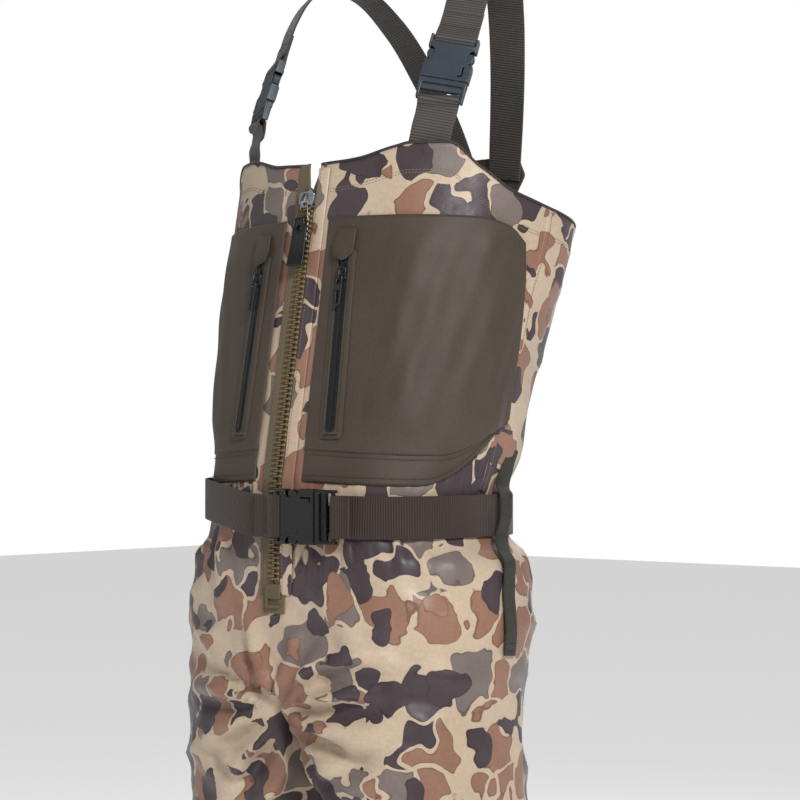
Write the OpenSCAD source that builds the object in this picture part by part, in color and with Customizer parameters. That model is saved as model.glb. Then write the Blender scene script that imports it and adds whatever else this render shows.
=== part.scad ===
// Chest waders with a front zip, two chest pockets, a waist belt and buckled shoulder straps.
// Millimetres, +Z up, front faces -Y, the wearer's left is +X, soles stand on z = 0.

/* [Bib] */
// Height of the bib at the centre front
zip_top_z = 1320; // [1260:1:1340]
// Height of the two peaks where the shoulder straps leave the bib
peak_z = 1335; // [1280:1:1360]
// Height of the bib at the side seams
side_z = 1276; // [1200:1:1300]
// Height of the bib at the centre back
back_z = 1250; // [1180:1:1290]
// Thickness of the laminated cloth with its lining
cloth_t = 3; // [2:0.5:5]
// Lowest edge of the hip section
crotch_z = 796; // [780:1:820]

/* [Zip] */
// Pitch of the teeth on one side
tooth_pitch = 5; // [4:0.5:6]
// Lowest point of the zip tapes
zip_low_z = 909; // [860:1:920]
// Height of the main slider when the zip is closed
slider_z = 1284; // [1260:1:1290]
// Length of the riveted pull tab
tab_len = 46; // [30:1:60]

/* [Straps and belt] */
// Width of all webbing
web_w = 40; // [38:1:44]
// Thickness of all webbing
web_t = 2.2; // [1.5:0.1:3]
// Height of the belt's centre line
belt_z = 980; // [970:1:990]
// Lean of the front straps, degrees from upright
strap_lean = 23; // [18:1:26]

/* [Boots] */
// Height of the rubber boots
boot_top_z = 330; // [300:5:360]
// Thickness of the outsole's plate
sole_t = 12; // [8:1:16]
// Depth of the tread lugs
lug_h = 8; // [5:1:10]
// Distance of each boot's centre line from the middle
boot_x = 105; // [100:1:120]

/* [Hidden] */
sq = 2.4;
front_y = -124;
front_z = 1015;
lean = atan(0.171);
low_lean = atan(0.0327);
step = 7.5;
small = 0.3;

// Torso sections: height, half width, half depth
torso = [
  [796, 180, 112], [830, 185, 118], [868, 187, 122], [907, 184, 121],
  [938, 179, 117], [956, 156, 114], [1004, 150, 117], [1018, 152.5, 122],
  [1035, 154, 125], [1091, 162, 126], [1146, 168.5, 133], [1192, 174, 136],
  [1266, 179, 143], [1340, 182, 146]
];
// Leg sections: height, centre x, centre y, half width, half depth
leg_rows = [
  [795.4, 91.5, -18, 88.5, 108], [740, 94, -14, 88, 103], [680, 96, -9, 86, 97],
  [610, 98, -3, 82, 91], [540, 100, 3, 79, 86], [470, 101, 8, 77, 82],
  [400, 103, 20, 76, 80], [350, 105, 32, 73, 78], [318, 105, 38, 70, 74]
];
// Boot shaft and foot sections: height, rearmost y, foremost y, half width
boot_rows = [
  [330, 104, -28, 64], [280, 102, -26, 61], [220, 98, -20, 56], [165, 94, -14, 51],
  [128, 94, -14, 47], [108, 98, -30, 46], [98, 100, -60, 47], [91, 101, -92, 48],
  [84, 102, -124, 49], [75, 103, -152, 50], [64, 104, -174, 51], [50, 104, -190, 51],
  [36, 103, -199, 50], [20.4, 101, -202, 48]
];

function mix(a, b, t) = a + (b - a) * t;
function unit(v) = v / norm(v);
function half_w(z) = lookup(z, [for (r = torso) [r[0], r[1]]]);
function half_d(z) = lookup(z, [for (r = torso) [r[0], r[2]]]);
function front_at(z) = front_y + (z >= front_z ? 0.171 : 0.0327) * (z - front_z);
function sgn(v) = v < 0 ? -1 : 1;

// A point of a rounded-square section at a polar angle, 0 at the front, 90 at the wearer's left
function ring_pt(phi, a, b) =
  let (s = sin(phi), c = cos(phi))
  let (r = pow(pow(abs(s) / a, sq) + pow(abs(c) / b, sq), -1 / sq))
  [r * s, -r * c];
function ring_normal(p, a, b) =
  unit([sgn(p[0]) * pow(abs(p[0]) / a, sq - 1) / a, sgn(p[1]) * pow(abs(p[1]) / b, sq - 1) / b]);

// A point on the garment's outer face, moved out by off
function body(phi, z, off = 0) =
  let (a = half_w(z), b = half_d(z), p = ring_pt(phi, a, b), n = ring_normal(p, a, b))
  [p[0] + off * n[0], p[1] + off * n[1] + front_at(z) + b, z];
function body_normal(phi, z) =
  let (n = ring_normal(ring_pt(phi, half_w(z), half_d(z)), half_w(z), half_d(z)))
  [n[0], n[1], 0];

// Height of the bib's top edge
function bib_top(phi) = lookup(abs(phi), [
  [0, zip_top_z], [20, zip_top_z + 3], [34, peak_z - 3], [39, peak_z], [51, peak_z],
  [62, peak_z - 24], [75, side_z + 12], [95, side_z - 1], [130, side_z - 14], [180, back_z]
]);

function flat(rows) = [for (r = rows, p = r) p];

// A closed sheet between an outer and an inner grid of points, rows upward and columns to the right
module sheet(outer, inner, wrap = false) {
  nr = len(outer);
  nc = len(outer[0]);
  cols = wrap ? nc : nc - 1;
  inner_0 = nr * nc;
  out_faces = [for (i = [0:nr - 2], j = [0:cols - 1])
    let (k = (j + 1) % nc, a = i * nc + j, b = a + nc, c = (i + 1) * nc + k, d = i * nc + k)
    each [[a, b, c], [a, c, d]]];
  in_faces = [for (f = out_faces) [f[2] + inner_0, f[1] + inner_0, f[0] + inner_0]];
  low = [for (j = [0:cols - 1]) let (k = (j + 1) % nc)
    each [[j, k, k + inner_0], [j, k + inner_0, j + inner_0]]];
  top = [for (j = [0:cols - 1])
    let (k = (j + 1) % nc, a = (nr - 1) * nc + j, b = (nr - 1) * nc + k)
    each [[a, a + inner_0, b + inner_0], [a, b + inner_0, b]]];
  sides = wrap ? [] : [for (i = [0:nr - 2])
    let (a = i * nc, b = a + nc, c = a + nc - 1, d = c + nc)
    each [[a, a + inner_0, b + inner_0], [a, b + inner_0, b],
      [c, d, d + inner_0], [c, d + inner_0, c + inner_0]]];
  polyhedron(points = concat(flat(outer), flat(inner)), faces = concat(out_faces, in_faces, low, top, sides));
}

// A strip of webbing along a path, laid across the given direction
function strip_frame(path, across, i) =
  let (a = path[max(i - 1, 0)], b = path[min(i + 1, len(path) - 1)], t = unit(b - a))
  let (w = unit(across[i] - t * (across[i] * t)))
  [t, w, cross(w, t)];
module strip(path, across, width, thick) {
  frames = [for (i = [0:len(path) - 1]) strip_frame(path, across, i)];
  outer = [for (i = [0:len(path) - 1]) [for (s = [-1, 0, 1])
    path[i] + frames[i][1] * s * width / 2 + frames[i][2] * thick / 2]];
  inner = [for (i = [0:len(path) - 1]) [for (s = [-1, 0, 1])
    path[i] + frames[i][1] * s * width / 2 - frames[i][2] * thick / 2]];
  sheet(outer, inner);
}

// Places a child with its origin at o, its +Z along up and its -Y facing out
module place(o, up, out) {
  z = unit(up);
  n = unit(out - z * (out * z));
  x = cross(z, n);
  multmatrix([[x[0], -n[0], z[0], o[0]], [x[1], -n[1], z[1], o[1]], [x[2], -n[2], z[2], o[2]], [0, 0, 0, 1]])
    children();
}
module both_sides() {
  children();
  mirror([1, 0, 0]) children();
}
module block(lo, hi) {
  translate(lo) cube(hi - lo);
}
// A round rod along X
module rod_x(r, half, y = 0, z = 0) {
  translate([-half, y, z]) rotate([0, 90, 0]) cylinder(r = r, h = 2 * half, $fn = 48);
}

// ---------- garment shell ----------

function bib_grid(from, to, n, off) = [for (i = [0:10]) [for (j = [0:n])
  let (phi = mix(from, to, j / n)) body(phi, mix(belt_z + small, bib_top(phi), i / 10), off)]];
module bib_panel(from, to, n) {
  sheet(bib_grid(from, to, n, 0), bib_grid(from, to, n, -cloth_t));
}
module bib_front_left() {
  color([0.72, 0.64, 0.54]) bib_panel(3.2, 91, 13);
}
module bib_front_right() {
  color([0.72, 0.64, 0.54]) mirror([1, 0, 0]) bib_panel(3.2, 91, 13);
}
module bib_back() {
  color([0.72, 0.64, 0.54]) bib_panel(91.3, 268.7, 24);
}
function hip_grid(off) = [for (z = [796, 830, 868, 907, 938, 956, belt_z - small]) [for (j = [0:47])
  body(j * step, max(z, crotch_z), off)]];
module hip_section() {
  color([0.60, 0.48, 0.40]) sheet(hip_grid(0), hip_grid(-cloth_t), true);
}

function leg_pt(r, phi, off) =
  let (p = ring_pt(phi, r[3] + off, r[4] + off)) [r[1] + p[0], r[2] + p[1], r[0]];
function leg_grid(off) =
  [for (i = [len(leg_rows) - 1:-1:0]) [for (j = [0:31]) leg_pt(leg_rows[i], j * 11.25, off)]];
module leg() {
  sheet(leg_grid(0), leg_grid(-cloth_t), true);
}
module left_leg() {
  color([0.66, 0.56, 0.46]) leg();
}
module right_leg() {
  color([0.66, 0.56, 0.46]) mirror([1, 0, 0]) leg();
}

// ---------- boots ----------

function foot_pt(r, phi, off) =
  let (half = (r[1] - r[2]) / 2 + off, mid = (r[1] + r[2]) / 2, w = r[3] + off)
  let (p = ring_pt(phi, w, half), fore = max(0, -p[1] / half))
  [boot_x + p[0] * (1 - 0.10 * (1 - fore) * min(1, max(0, half - 62) / 40)), mid + p[1], r[0]];
function boot_grid(off) = [for (i = [len(boot_rows) - 1:-1:0]) [for (j = [0:31])
  foot_pt(boot_rows[i], j * 11.25, off)]];
module boot_upper() {
  sheet(boot_grid(0), boot_grid(-3.5), true);
}
module sole_outline(grow) {
  hull() {
    translate([boot_x, 60]) circle(r = 40 + grow, $fn = 32);
    translate([boot_x, -104]) circle(r = 50 + grow, $fn = 32);
    translate([boot_x, -158]) circle(r = 44 + grow, $fn = 32);
  }
}
function sole_half(y) = y > 0 ? 37 : 45 - max(0, -y - 130) * 0.42;
module outsole() {
  translate([0, 0, lug_h]) linear_extrude(sole_t) sole_outline(1.5);
  for (y = [18, 34, 50, 66, 82])
    let (half = sole_half(y) - (y > 70 ? 9 : 0))
      block([boot_x - half, y, 0], [boot_x + half, y + 10, lug_h]);
  for (y = [-188:17:-35])
    block([boot_x - sole_half(y), y, 0], [boot_x + sole_half(y), y + 11, lug_h]);
  block([boot_x - 28, -30, 4], [boot_x + 28, 12, lug_h]);
}
module insole() {
  translate([0, 0, lug_h + sole_t + 0.6]) linear_extrude(4)
    polygon([for (j = [0:31]) let (p = foot_pt(boot_rows[len(boot_rows) - 1], j * 11.25, -5)) [p[0], p[1]]]);
}
// The leg's section at any height, so that the collar lies on the cloth
function leg_row(z) = [z, for (k = [1:4]) lookup(z, [for (r = leg_rows) [r[0], r[k]]])];
function collar_grid(off) = [for (z = [300, 318, boot_top_z + 6]) [for (j = [0:31])
  leg_pt(leg_row(z), j * 11.25, off)]];
module boot_collar() {
  sheet(collar_grid(4.5), collar_grid(1.5), true);
}
module boot_color() {
  color([0.20, 0.17, 0.14]) children();
}
module left_boot_upper() {
  boot_color() boot_upper();
}
module right_boot_upper() {
  boot_color() mirror([1, 0, 0]) boot_upper();
}
module left_boot_outsole() {
  boot_color() outsole();
}
module right_boot_outsole() {
  boot_color() mirror([1, 0, 0]) outsole();
}
module boot_insoles() {
  color([0.45, 0.43, 0.40]) both_sides() insole();
}
module boot_collars() {
  boot_color() both_sides() boot_collar();
}

// ---------- main zip, drawn in a frame that leans with the chest ----------

module zip_frame() {
  translate([0, front_y, front_z]) rotate([-lean, 0, 0]) children();
}
module zip_low_frame() {
  translate([0, front_y, front_z]) rotate([-low_lean, 0, 0]) children();
}
zip_up = (zip_top_z - front_z) / cos(lean);
zip_down = (front_z - zip_low_z) / cos(low_lean);
slider_at = (slider_z - front_z) / cos(lean);
split_at = slider_at + 2;
function split(z) = max(0, z - split_at) * 0.10;

module zip_tape() {
  zip_frame() translate([0, -0.5, 0]) rotate([90, 0, 0]) linear_extrude(1.2)
    polygon([
      [1, 0.4], [13, 0.4], [13, split_at],
      [13 + split(zip_up), zip_up], [1 + split(zip_up), zip_up], [1, split_at]
    ]);
  zip_low_frame() block([1, -1.7, -zip_down], [13, -0.5, -0.4]);
}
module tooth(shift, z) {
  block([-1.4 + shift, -4.6, z - 1.05], [6.4 + shift, -1.75, z + 1.05]);
}
module zip_teeth(offset) {
  for (k = [0:floor((slider_at + 4) / tooth_pitch)])
    zip_frame() tooth(0, k * tooth_pitch + offset + 1.6);
  for (k = [1:floor((zip_down - 8) / tooth_pitch)])
    zip_low_frame() tooth(0, -k * tooth_pitch + offset);
}
module zip_tape_left() {
  color([0.43, 0.37, 0.28]) zip_tape();
}
module zip_tape_right() {
  color([0.43, 0.37, 0.28]) mirror([1, 0, 0]) zip_tape();
}
module zip_teeth_left() {
  color([0.40, 0.33, 0.22]) zip_teeth(0);
}
module zip_teeth_right() {
  color([0.40, 0.33, 0.22]) mirror([1, 0, 0]) zip_teeth(tooth_pitch / 2);
}
module zip_docking_end() {
  color([0.36, 0.30, 0.21]) zip_low_frame() {
    block([-10, -4.8, -zip_down - 8], [10, -1.8, -zip_down + 6]);
    block([-14, -1.7, -zip_down - 22], [14, -0.5, -zip_down - 0.6]);
  }
}
hinge_y = -10;
hinge_z = slider_at - 6;
link_len = 16;
module zip_slider() {
  color([0.32, 0.33, 0.34]) zip_frame() translate([0, 0, slider_at]) {
    difference() {
      translate([0, -5, 0]) rotate([90, 0, 0]) linear_extrude(2.2)
        polygon([[-7, -11], [7, -11], [9.6, -4], [10, 6], [5, 11.5], [-5, 11.5], [-10, 6], [-9.6, -4]]);
      translate([0, 0, 11.6]) rotate([90, 0, 0]) cylinder(r = 3, h = 20, $fn = 48);
    }
    for (s = [-1, 1])
      block([s * 8.4 - 0.9, -5.2, -4], [s * 8.4 + 0.9, -2.1, 6]);
    difference() {
      block([-2, -12.6, -9.5], [2, -7.1, 5]);
      rod_x(1.5, 5, hinge_y, -6);
    }
  }
}
module zip_pull_link() {
  color([0.55, 0.45, 0.28]) zip_frame() translate([0, hinge_y, hinge_z]) {
    rod_x(1, 5.8);
    rod_x(1, 8.8, 0, -link_len);
    for (s = [-1, 1])
      place([s * 8, 0, -link_len], [s * -3, 0, link_len], [0, -1, 0])
        cylinder(r = 0.85, h = norm([3, link_len]), $fn = 48);
  }
}
module zip_pull_tab() {
  color([0.09, 0.09, 0.10]) zip_frame() translate([0, hinge_y, hinge_z - link_len])
    difference() {
      union() {
        rod_x(3.2, 6.2);
        block([-6.2, -2, -12], [6.2, 2, 0]);
        block([-9, -2, -tab_len + 2], [9, 2, -4.6]);
        rod_x(2, 9, 0, -tab_len + 2);
      }
      rod_x(1.45, 10);
      translate([0, 5, -9]) rotate([90, 0, 0]) cylinder(r = 1.6, h = 10, $fn = 48);
    }
}
module zip_pull_rivet() {
  color([0.12, 0.12, 0.13]) zip_frame() translate([0, hinge_y, hinge_z - link_len - 9]) {
    rotate([90, 0, 0]) translate([0, 0, -2.6]) cylinder(r = 1.5, h = 5, $fn = 48);
    rotate([90, 0, 0]) translate([0, 0, 2.05]) cylinder(r1 = 4, r2 = 2.2, h = 1.8, $fn = 48);
    rotate([90, 0, 0]) translate([0, 0, -3.1]) cylinder(r = 3.4, h = 1, $fn = 48);
  }
}

// ---------- chest pockets ----------

pocket_off = 1.6;
pocket_t = 2;
function pocket_in(z) = mix(14.2, 11, (z - 1010) / 256);
function pocket_out(z) =
  lookup(z, [[1007, 96], [1070, 96.5], [1162, 89.5], [1208, 86], [1235, 83], [1266, 80]]);
function pocket_low(u) = lookup(u, [[0, 1012], [0.60, 1008], [1, 1069]]);
function pocket_seam(u) = lookup(u, [[0, 1045], [0.64, 1039], [1, 1074]]);
function pocket_high(u) = lookup(u, [[0, 1266], [0.74, 1263], [0.9, 1256], [1, 1240]]);
function pocket_row(u, z, off) = body(mix(pocket_in(z), pocket_out(z), u), z, off);
function panel_grid(off) = [for (i = [0:8]) [for (j = [0:11])
  let (u = j / 11) pocket_row(u, mix(pocket_seam(u) + small, pocket_high(u), i / 8), off)]];
function band_grid(off) = [for (i = [0:1]) [for (j = [0:11])
  let (u = j / 11) pocket_row(u, mix(pocket_low(u), pocket_seam(u) - small, i), off)]];
module pocket_panel() {
  sheet(panel_grid(pocket_off + pocket_t), panel_grid(pocket_off));
}
module pocket_band() {
  sheet(band_grid(pocket_off + pocket_t), band_grid(pocket_off));
}
pz_low = body(26, 1061, 0);
pz_high = body(21.5, 1222, 0);
pz_out = body_normal(24, 1140);
pz_len = norm(pz_high - pz_low);
pz_off = 4.2;
pz_slider = pz_len - 14;
// The pocket zip's own frame: +Z along the zip, -Y out of the chest
module pocket_zip_frame() {
  place(pz_low, pz_high - pz_low, pz_out) translate([0, -pz_off, 0]) children();
}
module pocket_zip_tape() {
  pocket_zip_frame() {
    block([-9.5, -1, -4], [9.5, 0, pz_len + 4]);
    block([-2.6, -2.6, 0], [2.6, -1, pz_len]);
  }
}
module pocket_zip_slider() {
  pocket_zip_frame() translate([0, 0, pz_slider]) {
    block([-4.6, -4.6, -6], [4.6, -3, 6]);
    for (s = [-1, 1])
      block([s * 3.9 - 0.7, -3.2, -6], [s * 3.9 + 0.7, -1.4, 6]);
    difference() {
      block([-1.3, -9, -5], [1.3, -4.4, 4]);
      rod_x(1.2, 4, -7, -2.2);
    }
  }
}
module pocket_zip_pull() {
  pocket_zip_frame() translate([0, -7, pz_slider - 2.2]) {
    rod_x(0.8, 3.4);
    for (s = [-1, 1])
      block([s * 2.7 - 0.8, -0.8, -10], [s * 2.7 + 0.8, 0.8, 0]);
    block([-3.5, -0.9, -30], [3.5, 0.9, -9.5]);
  }
}
module pocket_zip_garage() {
  place(pz_low, pz_high - pz_low, pz_out) translate([0, -pz_off - 2.9, pz_len + 5]) rotate([90, 0, 0])
    linear_extrude(1.4) polygon([[-13, 4], [12, -3], [12, 8], [-4, 26], [-13, 22]]);
}
module pocket_color(k) {
  color([0.34 * k, 0.30 * k, 0.27 * k]) children();
}
module left_pocket_panel() {
  pocket_color(1) pocket_panel();
}
module right_pocket_panel() {
  pocket_color(1) mirror([1, 0, 0]) pocket_panel();
}
module left_pocket_band() {
  pocket_color(0.95) pocket_band();
}
module right_pocket_band() {
  pocket_color(0.95) mirror([1, 0, 0]) pocket_band();
}
module pocket_zip_tapes() {
  color([0.10, 0.10, 0.11]) both_sides() pocket_zip_tape();
}
module left_pocket_slider() {
  color([0.08, 0.08, 0.09]) pocket_zip_slider();
}
module right_pocket_slider() {
  color([0.08, 0.08, 0.09]) mirror([1, 0, 0]) pocket_zip_slider();
}
module left_pocket_pull() {
  color([0.08, 0.08, 0.09]) pocket_zip_pull();
}
module right_pocket_pull() {
  color([0.08, 0.08, 0.09]) mirror([1, 0, 0]) pocket_zip_pull();
}
module pocket_zip_garages() {
  pocket_color(0.9) both_sides() pocket_zip_garage();
}

// ---------- side-release buckle: +X from the female half to the male half, -Y outward ----------

bk_t = 10;
module buckle_female(length, width) {
  half = width / 2;
  difference() {
    block([-length, -bk_t, -half], [0, 0, half]);
    block([-length + 10, -bk_t + 1.8, -half + 2.6], [1, -1.8, half - 2.6]);
    block([-length + 4.6, -bk_t - 1, -20.6], [-length + 8.4, 1, 20.6]);
    block([-length - 1, -bk_t - 1, -20.6], [-length + 4.7, -7, 20.6]);
    block([-length - 1, -3, -20.6], [-length + 4.7, 1, 20.6]);
    for (s = [-1, 1])
      block([-33, -bk_t + 2.2, s * half - 3], [-19, -2.2, s * half + 3]);
    for (s = [-1, 1])
      translate([-26, -bk_t / 2, s * (half + 7)]) rotate([90, 0, 0])
        cylinder(r = 9, h = bk_t + 2, center = true, $fn = 64);
  }
}
module buckle_male(length, width) {
  half = width / 2;
  inner = half - 3.4;
  difference() {
    block([0.5, -bk_t + 0.6, -half + 0.6], [8, -1, half - 0.6]);
    for (s = [-1, 1])
      translate([2, -bk_t / 2, s * (inner - 4)]) rotate([90, 0, 0])
        cylinder(r = 2.4, h = 12, center = true, $fn = 48);
    for (s = [-1, 1])
      block([-1, -bk_t, s * (inner - 4) - 2.4], [2, 0, s * (inner - 4) + 2.4]);
  }
  for (s = [-1, 1])
    block([7.9, -bk_t + 2, s * (half - 2.1) - 1.4], [length, -1, s * (half - 2.1) + 1.4]);
  block([7.9, -bk_t + 1.4, -half + 2], [12.5, -3.4, half - 2]);
  block([length - 4, -bk_t + 3, -half + 2], [length, -4, half - 2]);
  block([-26, -bk_t + 2.6, -3], [0.6, -2.6, 3]);
}
// One latch arm: it turns about a round root and carries a thumb pad
module buckle_arm(width, s) {
  z = s * (width / 2 - 7.4);
  difference() {
    union() {
      translate([2, -bk_t / 2, z]) rotate([90, 0, 0]) cylinder(r = 2, h = 5, center = true, $fn = 48);
      block([-31, -bk_t / 2 - 2.5, z - 1.2], [2, -bk_t / 2 + 2.5, z + 1.2]);
      block([-31, -bk_t / 2 - 2.5, min(z, z + s * 4.4)], [-20, -bk_t / 2 + 2.5, max(z, z + s * 4.4)]);
    }
    translate([2, -bk_t / 2, z]) rotate([90, 0, 0]) cylinder(r = 0.8, h = 12, center = true, $fn = 48);
  }
}
// The webbing's end, folded round the female half's bar and sewn down
module web_fold(length) {
  x = -length;
  translate([0, 0, -web_w / 2]) linear_extrude(web_w) difference() {
    polygon([[x + 7.6, -0.4], [x + 7.6, -9.6], [x - 2, -9.6],
      [x - 14, -4.9], [x - 30, -4.9], [x - 30, -0.4]]);
    polygon([[x + 5.1, -2.6], [x + 5.1, -7.4], [x - 1.4, -7.4], [x - 7, -4.8], [x - 7, -2.6]]);
  }
}

// ---------- shoulder straps ----------

strap_foot = [116.5, -39.5, peak_z];
strap_dir = [0, sin(strap_lean), cos(strap_lean)];
strap_across = [0.845, 0.534, 0];
strap_w_dir = unit(strap_across - strap_dir * (strap_across * strap_dir));
strap_out = cross(strap_w_dir, strap_dir);
mouth_s = 63.5;
sb_len = 48;
sb_wide = 48;
// The strap buckle's frame: +X down the strap, -Y outward
module strap_buckle_frame() {
  o = strap_foot + strap_dir * mouth_s + strap_out * 1.5;
  x = -strap_dir;
  y = -strap_out;
  w = cross(x, y);
  multmatrix([[x[0], y[0], w[0], o[0]], [x[1], y[1], w[1], o[1]], [x[2], y[2], w[2], o[2]], [0, 0, 0, 1]])
    children();
}
module lower_webbing() {
  path = [
    body(44.5, 1296, -7.6), body(44.5, 1316, -7.6), body(44.5, 1328, -7.6),
    strap_foot + strap_dir * 5 - strap_out,
    strap_foot + strap_dir * 30, strap_foot + strap_dir * (mouth_s - 6)
  ];
  strip(path, [for (p = path) strap_across], web_w, web_t);
}
strap_top = strap_foot + strap_dir * (mouth_s + sb_len + 16) + strap_out * 4.1;
module shoulder_strap() {
  path = [
    strap_top, [117.8, 20, 1484], [114.5, 44, 1517], [107, 73, 1536], [94, 104, 1530],
    [76, 136, 1498], [58, 163, 1450], [42, 183, 1398], [31, 194.5, 1353], [27, 198.6, 1331]
  ];
  across = [
    strap_across, strap_across, strap_across, [0.88, 0.47, 0], [0.88, 0.45, -0.12],
    [0.88, 0.40, -0.28], [0.88, 0.30, -0.34], [0.9, 0.2, -0.3], [0.95, 0.1, -0.2], [0.97, 0.05, -0.2]
  ];
  strip(path, across, web_w, web_t);
  strap_buckle_frame() web_fold(sb_len);
}
module strap_color() {
  color([0.33, 0.33, 0.34]) children();
}
module strap_buckle_color() {
  color([0.28, 0.32, 0.36]) children();
}
module left_lower_webbing() {
  strap_color() lower_webbing();
}
module right_lower_webbing() {
  strap_color() mirror([1, 0, 0]) lower_webbing();
}
module left_shoulder_strap() {
  strap_color() shoulder_strap();
}
module right_shoulder_strap() {
  strap_color() mirror([1, 0, 0]) shoulder_strap();
}
module left_strap_female() {
  strap_buckle_color() strap_buckle_frame() buckle_female(sb_len, sb_wide);
}
module right_strap_female() {
  strap_buckle_color() mirror([1, 0, 0]) strap_buckle_frame() buckle_female(sb_len, sb_wide);
}
module left_strap_male() {
  strap_buckle_color() strap_buckle_frame() buckle_male(22, sb_wide);
}
module right_strap_male() {
  strap_buckle_color() mirror([1, 0, 0]) strap_buckle_frame() buckle_male(22, sb_wide);
}
module left_strap_latch_a() {
  strap_buckle_color() strap_buckle_frame() buckle_arm(sb_wide, 1);
}
module left_strap_latch_b() {
  strap_buckle_color() strap_buckle_frame() buckle_arm(sb_wide, -1);
}
module right_strap_latch_a() {
  strap_buckle_color() mirror([1, 0, 0]) strap_buckle_frame() buckle_arm(sb_wide, 1);
}
module right_strap_latch_b() {
  strap_buckle_color() mirror([1, 0, 0]) strap_buckle_frame() buckle_arm(sb_wide, -1);
}
module back_patch() {
  color([0.30, 0.30, 0.31]) translate([0, 203.6, 1322]) rotate([90, 0, 0]) linear_extrude(3)
      polygon([[-24, -34], [24, -34], [52, 12], [44, 30], [20, 34], [-20, 34], [-44, 30], [-52, 12]]);
}
module back_webbing() {
  path = [[0, 175, 1196], [0, 184.2, 1222], [0, 194.3, 1250],
    [0, 197.2, 1262], [0, 198.6, 1275], [0, 199, 1300]];
  strap_color() strip(path, [for (p = path) [-1, 0, 0]], web_w, web_t);
}

// ---------- waist belt ----------

belt_side = 157.4;
belt_mid_y = -8;
belt_front = 123.8;
belt_back = 119;
bb_len = 48;
bb_wide = 52;
buckle_x = 59;
function belt_lift(phi) = phi < 318 ? 0 : 7.2 * (1 - cos(180 * min(1, (phi - 318) / 32))) / 2;
function belt_pt(phi, z, off) =
  let (b = cos(phi) > 0 ? belt_front : belt_back, p = ring_pt(phi, belt_side + off, b + off))
  [p[0], p[1] + belt_mid_y - belt_lift(phi), z];
belt_turn = 6;
// The belt buckle's frame: +X along the belt to the wearer's left, -Y outward
module belt_buckle_frame() {
  translate([buckle_x, -129.6, belt_z]) rotate([0, 0, belt_turn]) children();
}
belt_from = 32;
belt_to = 356;
// The belt rides higher on the wearer's right
function belt_rise(phi) = lookup(phi,
  [[200, 0], [235, 2], [262, 9], [285, 14], [305, 14], [325, 10], [345, 2], [354, 0]]);
function belt_grid(off) = [for (z = [belt_z - web_w / 2, belt_z + web_w / 2]) [for (j = [0:52])
  let (phi = mix(belt_from, belt_to, j / 52)) belt_pt(phi, z + belt_rise(phi), off)]];
module waist_belt() {
  color([0.27, 0.21, 0.18]) {
    sheet(belt_grid(web_t), belt_grid(0));
    belt_buckle_frame() web_fold(bb_len);
  }
}
module belt_buckle_color() {
  color([0.10, 0.10, 0.11]) belt_buckle_frame() children();
}
module belt_buckle_female() {
  belt_buckle_color() buckle_female(bb_len, bb_wide);
}
module belt_buckle_male() {
  belt_buckle_color() buckle_male(22, bb_wide);
}
module belt_latch_upper() {
  belt_buckle_color() buckle_arm(bb_wide, 1);
}
module belt_latch_lower() {
  belt_buckle_color() buckle_arm(bb_wide, -1);
}
module belt_loop(rise) {
  path = [
    body(104, 1040 + rise, 1.9), body(103, 1024 + rise, 1.9), body(101, 1008 + rise, 8),
    belt_pt(99, 1000 + rise, 7), belt_pt(97, 980 + rise, 9), belt_pt(95, 960 + rise, 10.5),
    body(93.5, 948, 8), body(92, 937, 3.8), body(91, 922, 2.7), body(90, 906, 2.4),
    body(90, 886, 2.2), body(90, 868, 2.2), body(90, 850, 2)
  ];
  strip([for (i = [len(path) - 1:-1:0]) path[i]], [for (p = path) [-0.1, 1, 0]], 20, 1.6);
}
module belt_loops() {
  color([0.22, 0.22, 0.17]) {
    belt_loop(0);
    mirror([1, 0, 0]) belt_loop(14);
  }
}

bib_front_left();
bib_front_right();
bib_back();
hip_section();
left_leg();
right_leg();
left_boot_upper();
right_boot_upper();
left_boot_outsole();
right_boot_outsole();
boot_insoles();
boot_collars();
zip_tape_left();
zip_tape_right();
zip_teeth_left();
zip_teeth_right();
zip_docking_end();
zip_slider();
zip_pull_link();
zip_pull_tab();
zip_pull_rivet();
left_pocket_panel();
right_pocket_panel();
left_pocket_band();
right_pocket_band();
pocket_zip_tapes();
pocket_zip_garages();
left_pocket_slider();
right_pocket_slider();
left_pocket_pull();
right_pocket_pull();
left_lower_webbing();
right_lower_webbing();
left_shoulder_strap();
right_shoulder_strap();
left_strap_female();
right_strap_female();
left_strap_male();
right_strap_male();
left_strap_latch_a();
left_strap_latch_b();
right_strap_latch_a();
right_strap_latch_b();
back_patch();
back_webbing();
waist_belt();
belt_buckle_female();
belt_buckle_male();
belt_latch_upper();
belt_latch_lower();
belt_loops();
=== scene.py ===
"""Looks for the chest waders: every piece is made in millimetres in the CAD frame and scaled to metres."""
import math
import bpy
import bmesh
import numpy as np
from mathutils import Matrix, Vector


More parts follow.
